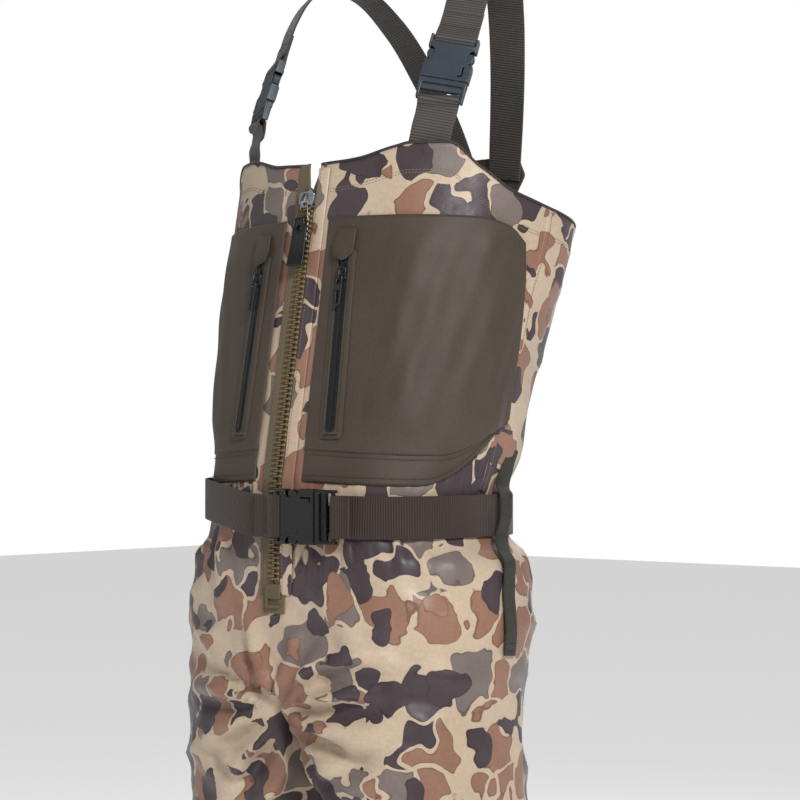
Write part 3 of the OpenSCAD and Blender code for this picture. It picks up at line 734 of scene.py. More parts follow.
def knit_tape(name, low, high):
    """Woven zip tape: fine lengthwise chains, with painted shade in the hollows of the chains and links and a
    slight painted highlight on their tops.
    """
    m = Mat(name, rough=0.66, specular=0.3, sheen=0.15)
    p = m.coords()
    x, _, z = m.split(p)
    chain = m.sine(x, 0.0011)
    link = m.sine(z, 0.0013)
    h = m.add(m.times(chain, 0.5), m.times(m.times(chain, link), 0.5))
    c = m.mix(m.noise(p, 16, 3), lin(*low), lin(*high))
    # painted shade: the colour is darker where the knit's height is low, slightly lighter where it is high
    c = m.shade(c, m.step(h, -0.7, 0.5), 0.72, 1.08)
    return m.finish(c, None, m.bump(h, 0.5, 0.0002))


def felt(name, low, high):
    m = Mat(name, rough=0.92, specular=0.15, sheen=0.3)
    p = m.coords()
    c = m.mix(m.noise(p, 220, 4, 0.7), lin(*low), lin(*high))
    return m.finish(c, None, m.bump(m.noise(p, 900, 4, 0.75), 0.8, 0.0006))


def pocket_look(name):
    return cloth(name, (60, 51, 43), (79, 68, 57), rough=0.56, sheen=0.1, pitch=0.0008, ripple=0.5)


MAT = {
    "camo": camo("camo_cloth"),
    "lining": cloth("lining_cloth", (62, 56, 52), (82, 75, 70), rough=0.55, weave=0.3),
    "binding": cloth("binding_tape", (44, 38, 36), (62, 55, 52), rough=0.7, pitch=0.0014),
    "pocket": pocket_look("pocket_cloth"),
    "band": pocket_look("pocket_band_cloth"),
    "thread": cloth("thread", (86, 74, 60), (112, 98, 80), rough=0.7, weave=0.2),
    "thread_dark": cloth("thread_dark", (46, 40, 36), (66, 58, 52), rough=0.7, weave=0.2),
    "thread_camo": cloth("thread_tan", (120, 100, 78), (150, 128, 102), rough=0.7, weave=0.2),
    "strap": webbing("strap_webbing", (62, 58, 55), (84, 79, 76)),
    "belt": webbing("belt_webbing", (47, 35, 28), (63, 48, 39), pitch=0.0024, rib=0.85),
    "loop": webbing("loop_webbing", (36, 35, 28), (52, 50, 40), pitch=0.0018, rib=0.5),
    "strap_buckle": plastic("strap_buckle_plastic", (43, 50, 57), (53, 61, 69), rough=0.38),
    "belt_buckle": plastic("belt_buckle_plastic", (9, 9, 10), (17, 18, 20), rough=0.27, grain=0.06),
    "tape": knit_tape("zip_tape_weave", (92, 79, 57), (114, 99, 74)),
    "teeth": plastic("zip_teeth_plastic", (88, 72, 46), (114, 96, 64), rough=0.45),
    "dock": plastic("zip_end_plastic", (80, 67, 46), (102, 87, 61), rough=0.5),
    "nickel": metal("slider_nickel", (84, 86, 90), (158, 160, 164), rough=0.27),
    "brass": metal("link_brass", (98, 80, 54), (134, 112, 78), rough=0.36, wear=(176, 154, 116)),
    "tab": rubber("tab_rubber", (9, 9, 10), (19, 19, 21), rough=0.36, scuff=0.15),
    "rivet": metal("rivet_black", (22, 22, 24), (44, 44, 48), rough=0.35, wear=(96, 94, 92)),
    "pzip": knit_tape("pocket_zip_weave", (14, 15, 17), (26, 27, 30)),
    "coil": plastic("pocket_coil", (10, 11, 13), (24, 25, 28), rough=0.34),
    "boot": rubber("boot_rubber", (52, 43, 34), (70, 59, 47), rough=0.58),
    "sole": rubber("outsole_rubber", (34, 29, 25), (50, 43, 37), rough=0.7, scuff=0.8),
    "insole": felt("insole_felt", (104, 100, 94), (134, 129, 121)),
}


# ---------------------------------------------------------------- bib


def offset_grid(grid, d):
    """Moves a grid of points against its normal by d."""
    u = np.gradient(grid, axis=1)
    v = np.gradient(grid, axis=0)
    n = np.cross(u, v)
    n /= np.linalg.norm(n, axis=-1, keepdims=True) + 1e-9
    return grid + n * d


def bib_grid(a, b, cols, rows=64):
    phi = np.linspace(a, b, cols)[None, :]
    t = np.linspace(0, 1, rows)[:, None]
    low = SEAT_Z + 0.3
    z = low + (bib_top(phi) - low) * t
    return torso(phi, z), phi + 0 * z, z


def bib_panel(name, a, b, cols, node):
    g, phi, z = bib_grid(a, b, cols)
    v, f, m = shell(g, offset_grid(g, -2.2))
    s = np.radians(phi) * AROUND * 0.001
    uv = np.stack([s, z * 0.001], -1).reshape(-1, 2)
    return make(name, v, f, [MAT["camo"], MAT["lining"]], slot="camo_cloth", replaces=[node], mat_index=m,
                uv=np.concatenate([uv, uv]))


def binding(name, a, b, n):
    """The dark tape folded over the bib's top edge."""
    phi = np.linspace(a, b, n)
    top = bib_top(phi)
    rows = []
    wobble = 0.25 * waves(phi * 2.8, phi * 0, 31, 4, 40)
    for off, dz in ((0.35, -1.6), (0.55, -1.0), (0.55, -0.1), (0.1, 0.7), (-1.1, 0.9), (-2.3, 0.7),
                    (-2.8, -0.2), (-2.8, -8.0)):
        rows.append(torso(phi, top + dz + wobble * (dz < -5), off))
    outer = np.array(rows)[::-1]
    v, f, _ = shell(outer, offset_grid(outer, -0.35))
    make(name, v, flipped(f), MAT["binding"], slot="camo_cloth")


def seam_rib(name, phi, z0, z1, off=0.0):
    """A felled seam: a raised fold of the cloth with a stitch line beside it."""
    z = np.linspace(z0, z1, 90)
    c = torso(phi, z, off)
    n = torso_normal(phi + 0 * z, z)
    side = np.cross(n, np.gradient(c, axis=0))
    side = unit(side)
    sec = [(-5, -0.6), (-4.6, 0.45), (-2, 0.85), (1, 0.9), (2.2, 0.5), (2.6, -0.6)]
    g = np.array([[c[i] + side[i] * a + n[i] * b for a, b in sec] for i in range(len(z))])
    p = Parts()
    v, f, _ = shell(g, g - n[:, None] * 0.5)
    p.add(v, flipped(f), 0)
    stitches(p, c - side * 3.6, n, mat=1, lift=0.85)
    p.piece(name, [MAT["camo"], MAT["thread_camo"]], slot="camo_cloth")


def bib_stitching():
    """Two rows along the hem on every panel and one beside each half of the opening."""
    p = Parts()

    def row(phi, z, sign=1):
        stitches(p, torso(sign * phi, z), torso_normal(sign * phi, z))

    for sign in (1, -1):
        phi = np.linspace(5.2, 91, 200)
        for drop in HEM_STITCHES:
            row(phi, bib_top(phi) - drop, sign)
        z = np.linspace(1016, 1316, 260)
        row(np.degrees(np.arcsin(18.5 / AROUND)) + 0 * z, z, sign)
    phi = np.linspace(92, 268, 360)
    for drop in HEM_STITCHES:
        row(phi, bib_top(phi) - drop)
    p.piece("bib_stitching", [MAT["thread_camo"]], slot="camo_cloth")


def build_bib():
    bib_panel("bib_cloth_left", BIB_OPENING, SIDE_SEAM, 100, "bib_front_left")
    bib_panel("bib_cloth_right", -SIDE_SEAM, -BIB_OPENING, 100, "bib_front_right")
    bib_panel("bib_cloth_back", SIDE_SEAM, 360 - SIDE_SEAM, 150, "bib_back")
    binding("bib_binding_left", 3.4, 91, 120)
    binding("bib_binding_right", -91, -3.4, 120)
    binding("bib_binding_back", 91.1, 268.9, 160)
    for side, who in WHO.items():
        seam_rib("side_seam_" + who, side * 91.1, 1003, bib_top(91.1) - 3)
    bib_stitching()


# ---------------------------------------------------------------- trousers
HIP_COLS, HIP_ROWS, LEG_ROWS, IN_COLS = 192, 30, 84, 24
HALF = HIP_COLS // 2


def hip_fold(phi, z):
    """Gathers under the belt and soft drapes over the hips."""
    x = 170 * sind(phi)
    s = np.radians(phi) * 165
    free = np.clip(smooth(np.abs(x), 13, 44) + (cosd(phi) < 0), 0, 1)
    free = np.maximum(free, smooth(885 - z, 0, 30))
    gather = np.exp(-((z - 946) / 26.0) ** 2)
    out = 11.5 * gather * (ridged(1.25 * waves(s, z * 0.22, 41, 7, 46, tilt=0.0)) - 0.30)
    low = smooth(938 - z, 0, 40)
    out = out + low * 9.5 * (ridged(1.05 * waves(s, z, 43, 6, 104)) - 0.35)
    out = out + low * 4.6 * (ridged(1.3 * waves(s, z, 47, 7, 58, tilt=0.9)) - 0.3)
    out = out + low * 0.7 * waves(s, z, 48, 8, 46)
    return out * free


def trouser_grid():
    """Rows of points round the hips, from the waist to the line where the legs part."""
    phi = np.arange(HIP_COLS) * 360 / HIP_COLS
    low = 800 + np.where(cosd(phi) > 0, 26, 14) * np.exp(-(170 * sind(phi) / 42.0) ** 2)
    top = SEAT_Z - 0.3
    return np.array([torso_flat(phi, top + (low - top) * t, 0.0) for t in np.linspace(0, 1, HIP_ROWS)])


def leg_section(angle, z):
    c = [pchip(z, LEG[:, 0], LEG[:, k]) for k in (1, 2, 3, 4)]
    x, y = ring(angle, c[2], c[3])
    return np.stack([c[0] + x, c[1] + y, np.broadcast_to(z, np.shape(x))], -1)


def trousers_mesh():
    """The hips and both legs as one surface; the legs part along a saddle between front and back."""
    hips = trouser_grid()
    back, front = hips[-1][HALF], hips[-1][0]
    v = list(hips.reshape(-1, 3))
    f = grid_faces(HIP_ROWS, HIP_COLS, True, flip=True)
    base, s0 = (HIP_ROWS - 1) * HIP_COLS, len(v)
    for t in np.linspace(0, 1, IN_COLS + 1)[1:-1]:
        y, z = back[1:] + (front[1:] - back[1:]) * t
        v.append((0, y, z - 34 * math.sin(math.pi * t) ** 1.3))
    saddle = list(range(s0, len(v)))
    angle = np.concatenate([-68 + np.arange(HALF + 1) * (316 / HALF),
                            248 + np.arange(1, IN_COLS) * (44 / IN_COLS)])
    for side in WHO:
        prev = [base + side * j % HIP_COLS for j in range(HALF + 1)] + saddle
        start = np.array([v[c] for c in prev]) * [side, 1, 1]
        for t in np.linspace(0, 1, LEG_ROWS)[1:]:
            drop = start[:, 2] + (LEG_END - start[:, 2]) * t
            w = smooth(798 - drop, -30, 120)[:, None]
            straight = start.copy()
            straight[:, 2] = drop
            leg = np.array([leg_section(a, z) for a, z in zip(angle, drop)])
            pts = straight * (1 - w) + leg * w
            pts[:, 2] = drop
            row = list(range(len(v), len(v) + len(pts)))
            v += list(pts * [side, 1, 1])
            for j in range(len(row)):
                k = (j + 1) % len(row)
                q = (prev[j], prev[k], row[k], row[j])
                f.append(q[::-1] if side > 0 else q)
            prev = row
    return np.array(v), f


def vertex_normals(v, f):
    q = np.array([t if len(t) == 4 else (*t, t[-1]) for t in f])
    n = np.cross(v[q[:, 2]] - v[q[:, 0]], v[q[:, 3]] - v[q[:, 1]])
    out = np.zeros_like(v)
    for k in range(4):
        np.add.at(out, q[:, k], n)
    return out / (np.linalg.norm(out, axis=1, keepdims=True) + 1e-9)


CREASES = (
    # start x and height, direction in degrees from the wearer's left, length, depth, bend
    (6, 806, 24, 150, 10.8, -0.0012), (6, 802, 50, 105, 7.8, 0.0015), (10, 800, -4, 135, 11.6, 0.0010),
    (12, 792, -30, 150, 12.4, 0.0012), (14, 776, -55, 140, 10.1, 0.0008), (-6, 806, 158, 120, 10.8, 0.0012),
    (-6, 802, 128, 90, 7.8, -0.0015), (-10, 798, 186, 125, 11.6, -0.0010),
    (-14, 788, 212, 130, 11.6, -0.0012),
    (-16, 772, 238, 130, 10.1, -0.0008), (40, 722, 22, 130, 7.5, 0.0014), (34, 664, 30, 150, 8.1, -0.0010),
    (46, 600, 20, 120, 6.9, 0.0012), (-36, 706, 154, 115, 7.5, -0.0012), (-40, 640, 162, 120, 7.5, 0.0012),
    (-44, 580, 148, 110, 6.2, -0.0010), (70, 884, -28, 90, 5.6, 0.0015), (-64, 890, 206, 80, 5.6, -0.0015),
    (52, 540, 28, 90, 6.2, 0.0015), (60, 470, 16, 80, 6.2, -0.0015), (-58, 505, 158, 85, 6.2, 0.0015),
)


def creases(x, y, z):
    """Sharp creases on the front: a narrow valley with a soft ridge on each side, fading along its length."""
    out = 0 * x
    for x0, z0, turn, length, depth, bend in CREASES:
        c, s = math.cos(math.radians(turn)), math.sin(math.radians(turn))
        along = (x - x0) * c + (z - z0) * s
        across = -(x - x0) * s + (z - z0) * c - bend * along ** 2
        fade = smooth(along, -6, 22) * smooth(length - along, 0, length * 0.6)
        width = 4.5 + 0.035 * np.maximum(along, 0)
        valley = -np.exp(-(across / width) ** 2)
        ridge = 0.75 * np.exp(-((np.abs(across) - 2.1 * width) / (1.2 * width)) ** 2)
        out = out + depth * fade * (valley + ridge)
    return out * smooth(-y, 0, 40)


def leg_fold(p):
    """Creases of the legs: fans at the crotch, long drapes on the thigh, soft rings above the boots."""
    x, y, z = p[:, 0], p[:, 1], p[:, 2]
    side = np.where(x >= 0, 1, -1)
    s = np.arctan2(np.abs(x) - 98, -(y + 5)) * 92
    fan_a = np.degrees(np.arctan2(800 - z, np.abs(x) + 1e-6))
    dist = np.hypot(np.abs(x), 812 - z)
    near = np.exp(-((dist - 62) / 62.0) ** 2) * smooth(dist, 12, 40)
    fan = near * 13.0 * (ridged(1.2 * np.sin(np.radians(fan_a) * 7.5 + side * 0.9 + 0.012 * dist)
                               + 0.4 * waves(s, z, 51, 5, 60)) - 0.35)
    long_ = ridged(1.1 * waves(s + 40 * side, z, 53, 6, 108, tilt=1.15)) - 0.35
    short = ridged(1.3 * waves(s * side, z, 55, 7, 64, tilt=0.8)) - 0.3
    drape = smooth(860 - z, 0, 60) * (9.0 * long_ + 3.4 * short + 0.6 * waves(s, z, 56, 8, 42))
    knee = ridged(1.1 * waves(s * 0.5, z + 15 * side, 57, 5, 62, tilt=1.5)) - 0.35
    knee = np.exp(-((z - 520) / 90.0) ** 2) * 4.5 * knee
    ankle = ridged(1.2 * waves(s * 0.45, z + 11 * side, 59, 5, 40, tilt=1.5)) - 0.3
    ankle = np.exp(-((z - 385) / 42.0) ** 2) * 9.0 * ankle
    keep = smooth(z, 322, 352)
    return (fan * smooth(850 - z, 0, 30) + drape + knee + ankle + creases(x, y, z)) * keep


def smooth_points(v, f, rounds, hold):
    """Laplace smoothing; hold is 1 where a point stays."""
    q = np.array(f)
    e = np.concatenate([q[:, [k, (k + 1) % 4]] for k in range(4)])
    e = np.unique(np.sort(e, axis=1), axis=0)
    count = np.bincount(e.ravel(), minlength=len(v))[:, None]
    for _ in range(rounds):
        s = np.zeros_like(v)
        np.add.at(s, e[:, 0], v[e[:, 1]])
        np.add.at(s, e[:, 1], v[e[:, 0]])
        v = v * hold[:, None] + (s / count) * (1 - hold[:, None])
    return v


def build_trousers():
    v, f = trousers_mesh()
    z = v[:, 2]
    hold = np.clip(smooth(z, 850, 900) + smooth(345 - z, 0, 15), 0, 1)
    v = smooth_points(v, f, 12, hold)
    n = vertex_normals(v, f)
    phi = np.degrees(np.arctan2(v[:, 0], -(v[:, 1] + 19)))
    push = hip_fold(phi, z) * smooth(z, 770, 840) + leg_fold(v) * (1 - smooth(z, 850, 930))
    push = push * (1 - np.exp(-((np.abs(phi) - 91) / 9) ** 4) * smooth(z, 825, 855))
    push = push * (1 - 0.62 * np.exp(-((np.abs(phi) - 92) / 38) ** 2))
    top = smooth(979.5 - z, 0, 9)
    v = v + n * (push * top)[:, None]
    v = smooth_points(v, f, 1, hold * 0 + 0.45)
    o = make("trouser_cloth", v, f, [MAT["camo"], MAT["lining"]], slot="camo_cloth",
             replaces=["hip_section", "left_leg", "right_leg"])
    s = o.modifiers.new("thickness", "SOLIDIFY")
    s.thickness = 0.0016
    s.offset = -1
    s.material_offset = 1
    return o


# ---------------------------------------------------------------- pockets


def pocket_phi(u, z):
    """The angle round the chest at the share u of the pocket's width."""
    return pocket_in(z) + (pocket_out(z) - pocket_in(z)) * u


def pocket_in(z):
    return 14.2 - 3.2 * (np.asarray(z, float) - 1010) / 256


def pocket_out(z):
    return np.interp(z, [1007, 1070, 1162, 1208, 1235, 1266], [96, 96.5, 89.5, 86, 83, 80])


def pocket_low(u):
    return pchip(u, np.array([0, 0.60, 1]), np.array([1012, 1008, 1069.0]))


def pocket_seam(u):
    return pchip(u, np.array([0, 0.64, 1]), np.array([1045, 1039, 1074.0]))


def pocket_high(u):
    return pchip(u, np.array([0, 0.74, 0.9, 1]), np.array([1266, 1263, 1256, 1240.0]))


def pocket_puff(u, z, phi):
    """The empty pocket's shallow crown and its long soft ripples; flat along the zip and the edges."""
    s = np.radians(phi) * 160
    edge = smooth(np.minimum(u, 1 - u), 0.0, 0.10) * smooth(z, 1040, 1075) * smooth(1266 - z, 4, 40)
    zip_ = smooth(phi, 33, 46)
    soft = 2.6 + 1.9 * waves(s, z * 0.22, 61, 6, 58, tilt=0.1) + 0.9 * waves(s, z * 0.5, 63, 6, 34, tilt=0.4)
    return edge * zip_ * soft


def pocket_cloth_piece(name, side, low, high, rows, mat, node, puff):
    """A cloth panel with rolled edges on the chest: the empty pocket if puff is set, else the flat band."""
    u = np.concatenate([np.linspace(0, 0.02, 5)[:-1], np.linspace(0.02, 0.98, 84),
                        np.linspace(0.98, 1, 5)[1:]])
    t = np.linspace(0, 1, rows)[:, None]
    rise = (high(u) - low(u))[None, :]
    z = low(u)[None, :] + rise * t
    phi = pocket_phi(u[None, :], z)
    roll = smooth(np.minimum(u, 1 - u)[None, :] * POCKET_WIDTH, 0, 1.6)
    roll = roll * smooth(t * rise, 0, 1.6) * smooth((1 - t) * rise, 0, 1.6)
    if puff:
        off = 2.1 + 1.4 * roll + pocket_puff(u[None, :], z, phi)
    else:
        off = 0.9 + 1.5 * roll * (1 - 0.7 * smooth(t, 0.8, 1))
        off = off + 0.9 * roll * (1 - t) * waves(phi * 2.8, z, 67, 6, 40)
    outer, inner = (mirrored(torso_flat(phi, z, o), side) for o in (off, off - 0.8))
    v, f, _ = shell(outer, inner)
    s = np.stack([np.radians(phi) * 0.16, z * 0.001], -1).reshape(-1, 2)
    make(name, v, flipped(f, side < 0), MAT[mat], slot="pocket_cloth", replaces=[node],
         uv=np.concatenate([s, s]))


def pocket_stitching(name, side):
    p = Parts()
    z, z_out = np.linspace(1046, 1262, 170), np.linspace(1076, 1238, 170)
    uu = np.linspace(0.012, 0.985, 300)
    for k in (2.0, 8.0):
        edge = k / POCKET_WIDTH
        for u, zz in ((0 * z + edge, z), (1 - edge + 0 * z, z_out), (uu, pocket_high(uu) - k),
                      (uu, pocket_seam(uu) + k), (uu, pocket_seam(uu) - k * 0.8),
                      (uu, pocket_low(uu) + k * 0.9)):
            phi = pocket_phi(u, zz)
            puff = pocket_puff(u, zz, phi) * (zz > pocket_seam(u))
            at, n = torso_flat(phi, zz, 3.1 + puff), torso_normal(phi, zz)
            stitches(p, mirrored(at, side), mirrored(n, side), lift=0.12)
    p.piece(name, [MAT["thread_dark"]], slot="pocket_cloth")


def pocket_zip_frame(side):
    low = torso_flat(26.0, 1061.0, 0.0)
    high = torso_flat(21.5, 1222.0, 0.0)
    a, b = pchip(1140, TORSO[:, 0], TORSO[:, 1]), pchip(1140, TORSO[:, 0], TORSO[:, 2])
    nx, ny = ring_normal(*ring(24.0, a, b), a, b)
    m = place(low, high - low, (nx, ny, 0)) @ shift(0, -4.2, 0)
    return (MIRROR @ m if side < 0 else m), float(np.linalg.norm(high - low))


def pocket_zip_tape(who, m, length):
    """Two strips of black tape, one each side of the coil."""
    p = Parts()
    section = [(0.5, -0.9), (3.0, -1.35), (3.8, -1.1), (6.5, -0.75), (9.0, -0.3), (9.8, 0.5)]
    for s in (-1, 1):
        g = np.array([[(s * a, b + 0.12 * math.sin(q * 0.11 + s), q) for a, b in section]
                      for q in np.linspace(-6, length + 6, 90)])
        v, f, _ = shell(g, g + [0, 0.7, 0])
        p.add(v, flipped(f, s < 0), 0, m)
    p.piece(who + "_pocket_zip_tape", [MAT["pzip"]], slot="pocket_zip_black",
            replaces=["pocket_zip_tapes"] if who == "left" else [])


def pocket_zip_welt(who, m, length):
    """The cloth frame round the pocket's mouth, thinner toward its outer edge."""
    p = Parts()
    mouth = rounded([(-5.6, -3), (5.6, -3), (5.2, length + 4), (-5.2, length + 4)], [4, 4, 2, 2], 6)
    rim = rounded([(-12.5, -9.5), (12.5, -9.5), (12, length + 9), (-12, length + 9)], [6, 6, 3, 3], 6)
    v, f = plate([rim, mouth], -2.3, -0.6, 0.5)
    v[:, 1] += 1.6 * smooth(np.abs(v[:, 0]), 7, 12.2) + 0.9 * smooth(-v[:, 2], 3, 9)
    p.add(v, f, 0, m)
    for x in (-8.1, 8.1):
        y = -2.35 + 1.6 * smooth(abs(x), 7, 12.2)
        stitch_on(p, [(x, y, b) for b in np.linspace(-3, length + 4, 60)], m, mat=1)
    p.piece(who + "_pocket_zip_welt", [MAT["pocket"], MAT["thread_dark"]], slot="pocket_cloth")


def pocket_zip_coil(who, m, length):
    p = Parts()
    pitch = 1.5
    one, f = block((-2.4, -2.7, -0.5), (0.35, -1.1, 0.5), 0.42)
    for k in range(int((length - 2) / pitch)):
        for s in (-1, 1):
            lift = 1 + k * pitch + (pitch / 2 if s > 0 else 0)
            p.add(one * [-s, 1, 1] + [0, 0, lift], flipped(f, s > 0), 0, m)
    p.piece(who + "_pocket_zip_coil", [MAT["coil"]], slot="pocket_zip_black")


def pocket_zip_slider(who, m, zs):
    p = Parts()
    body = [(-4.2, -6.5), (4.2, -6.5), (5, -2), (5, 4), (3.6, 7), (-3.6, 7), (-5, 4), (-5, -2)]
    v, f = plate([body], -4.8, -3.0, 0.5)
    p.add(v + [0, 0, zs], f, 0, m)
    for x in (-4.4, 4.4):
        p.add(*block((x - 0.6, -3.4, zs - 6), (x + 0.6, -1.2, zs + 5), 0.4), 0, m)
    arch = [(-4.4, 5), (-7.6, 3.4), (-8.8, 0), (-8.8, -3.4), (-7.4, -5), (-4.6, -5.6)]
    p.add(*tube(spline([(0, y, zs + z) for y, z in arch], 24), 0.95), 0, m)
    p.piece(who + "_pocket_zip_slider", [MAT["coil"]], body=who + "_pocket_slider",
            slot="pocket_slider_black",
            replaces=[who + "_pocket_slider"])


def pocket_zip_pull(who, m, zp):
    """A wire ring and the long pierced tag that hangs in it."""
    p = Parts()
    wire = [(0, 0.9), (2.4, 0), (2.9, -4), (2.9, -9), (-2.9, -9), (-2.9, -4), (-2.4, 0)]
    p.add(*tube([(x, -7, zp + z) for x, z in wire], 0.75, closed=True), 0, m)
    v, f = plate([rounded(rect(-3.4, -30, 3.4, -8.6), 1.6), rounded(rect(-1.7, -27.5, 1.7, -14.5), 1.2)],
                 -7.9, -6.1, 0.5)
    p.add(v + [0, 0, zp], f, 0, m)
    p.piece(who + "_pocket_zip_pull", [MAT["coil"]], body=who + "_pocket_pull", slot="pocket_slider_black",
            replaces=[who + "_pocket_pull"])


def garage_bulge(x, z):
    """The flap's lower end stands forward and its upper end lies back on the pocket."""
    return 1.9 * smooth(z, 6, 28) - 3.2 * np.exp(-((x + 1) / 11) ** 2 - ((z + 4) / 12) ** 2)


def pocket_garage(who, m, length):
    m = m @ shift(0, 0, length + 5)
    p = Parts()
    outline = rounded([(-10.5, -1), (2, -8), (11, 1), (11.5, 25), (-9, 26), (-12.5, 10)], [4, 6, 4, 2, 2, 6])
    v, f = plate([outline], -4.4, -3.0, 0.55)
    v[:, 1] += garage_bulge(v[:, 0], v[:, 2])
    p.add(v, f, 0, m)
    line = spline([(-7.5, 0, 24), (-10.4, 0, 10), (-8.4, 0, 1.5), (1.6, 0, -5), (8.6, 0, 1.8),
                   (9.3, 0, 23)], 60)
    line[:, 1] = -4.45 + garage_bulge(line[:, 0], line[:, 2])
    stitch_on(p, line, m, mat=1)
    p.piece(who + "_pocket_garage", [MAT["pocket"], MAT["thread_dark"]], slot="pocket_cloth",
            replaces=["pocket_zip_garages"] if who == "left" else [])


def build_pockets():
    for side, who in WHO.items():
        pocket_cloth_piece(who + "_pocket_cloth", side, lambda u: pocket_seam(u) - 3.0, pocket_high, 90,
                           "pocket",
                           who + "_pocket_panel", True)
        pocket_cloth_piece(who + "_pocket_band_cloth", side, pocket_low, lambda u: pocket_seam(u) + 2.0, 26,
                           "band",
                           who + "_pocket_band", False)
        pocket_stitching(who + "_pocket_stitching", side)
        m, length = pocket_zip_frame(side)
        pocket_zip_tape(who, m, length)
        pocket_zip_welt(who, m, length)
        pocket_zip_coil(who, m, length)
        pocket_zip_slider(who, m, length - 14)
        pocket_zip_pull(who, m, length - 14 - 2.2)
        pocket_garage(who, m, length)


# ---------------------------------------------------------------- main zip
LEAN, LOW_LEAN = math.atan(0.171), math.atan(0.0327)
BEND_Z = 1015
ZIP_UP = (1320 - BEND_Z) / math.cos(LEAN)
ZIP_DOWN = (BEND_Z - 909) / math.cos(LOW_LEAN)
SLIDER_AT = (1284 - BEND_Z) / math.cos(LEAN)
HINGE_Y, HINGE_Z, LINK_LEN = -10.0, SLIDER_AT - 6.0, 16.0
TOOTH_PITCH = 5


def lean_frame(angle):
    m = np.array(Matrix.Rotation(-angle, 4, "X"))
    m[:3, 3] = (0, -124, BEND_Z)
    return m


ZIP_FRAME, ZIP_LOW_FRAME = lean_frame(LEAN), lean_frame(LOW_LEAN)
ZIP_OUT = np.array([0, -1.0, 0.1])


def zip_tape(side):
    """One half of the tape: smooth cloth with a raised cord by the teeth and a turned outer edge."""
    wide = [5.0, 9.5, 14.5, 17.6, 18.8] if side < 0 else [5.0, 8.0, 10.5, 12.2, 13.0]
    x = np.array([1.0, 2.2, 3.2] + wide)
    y = np.array([-0.9, -1.6, -1.8, -1.75, -1.7, -1.7, -1.55, -1.1])
    z = np.linspace(0, ZIP_UP, 130)[:, None]
    open_ = np.maximum(0, z - SLIDER_AT - 2) * 0.10
    turn = smooth(z, SLIDER_AT + 2, ZIP_UP) * (0.35 if side < 0 else -0.5)
    d = 13.0 - x[None, :]
    gx = 13.0 - d * np.cos(turn) * (1 + 0.06 * open_) + open_ * (0.6 if side < 0 else 1.0)
    gy = y[None, :] - d * np.sin(turn)
    up = moved(np.stack([gx * side, gy, z + 0 * gx], -1), ZIP_FRAME)
    low_z = np.linspace(-ZIP_DOWN - 6, 0, 60)[:, None]
    low = moved(np.stack(np.broadcast_arrays(x[None, :] * side, y[None, :], low_z), -1), ZIP_LOW_FRAME)
    g = np.concatenate([low[:-1], up])
    v, f, _ = shell(g, g + [0, 1.0, 0])
    p = Parts()
    p.add(v, flipped(f, side < 0))
    for col in (5, 6):
        stitches(p, g[:, col], np.tile(ZIP_OUT, (len(g), 1)), pitch=3.2, length=2.3, mat=1, lift=0.15)
    p.piece("zip_tape_cloth_" + WHO[side], [MAT["tape"], MAT["thread"]], slot="zip_tape",
            replaces=["zip_tape_" + WHO[side]])


def zip_placket():
    """The folded edge of the chest cloth that covers the outer part of the left tape."""
    xs = np.array([7.9, 8.2, 9.4, 12.0, 16.0, 20.0, 21.5])
    ys = np.array([-2.1, -2.9, -3.2, -3.1, -2.6, -2.0, -1.2])
    rows = []
    for m, z0, z1, n in ((ZIP_LOW_FRAME, -ZIP_DOWN - 4, 0, 40), (ZIP_FRAME, 1.0, SLIDER_AT + 32, 120)):
        for z in np.linspace(z0, z1, n):
            wob = 0.35 * math.sin(z * 0.11) + 0.25 * math.sin(z * 0.043 + 1)
            lift = 0.25 * math.sin(z * 0.09 + 2)
            rows.append(moved(np.stack([xs + wob * (xs < 13), ys - lift * (xs < 16), xs * 0 + z], -1), m))
    g = np.array(rows)
    v, f, _ = shell(g, g + [0, 0.7, 0])
    p = Parts()
    p.add(v, f)
    stitches(p, g[:, 3] * 0.75 + g[:, 2] * 0.25, np.tile(ZIP_OUT, (len(g), 1)), mat=1, lift=0.15)
    p.piece("zip_placket_edge", [MAT["camo"], MAT["thread_camo"]], slot="camo_cloth")


def zip_teeth(side):
    """A row of moulded teeth, each a long body with a rounded head; the left row sits half a pitch lower."""
    outline = rounded([(-1.4, -1.02), (6.4, -0.86), (6.4, 0.86), (-1.4, 1.02)], [0.8, 0.35, 0.35, 0.8], 4)
    shapes = plate([outline], -4.6, -1.75, 0.42, 1), block((4.2, -3.4, -1.2), (6.9, -1.7, 1.2), 0.4, 1)
    off = 0.0 if side > 0 else TOOTH_PITCH / 2
    up = [(k * TOOTH_PITCH + off + 1.6, ZIP_FRAME) for k in range(int((SLIDER_AT + 4) / TOOTH_PITCH) + 1)]
    down = [(off - k * TOOTH_PITCH, ZIP_LOW_FRAME) for k in range(1, int((ZIP_DOWN - 8) / TOOTH_PITCH) + 1)]
    p = Parts()
    for z, m in up + down:
        for v, f in shapes:
            p.add(v * [side, 1, 1] + [0, 0, z], flipped(f, side < 0), 0, m)
    p.piece("zip_teeth_row_" + WHO[side], [MAT["teeth"]], slot="zip_teeth",
            replaces=["zip_teeth_" + WHO[side]])


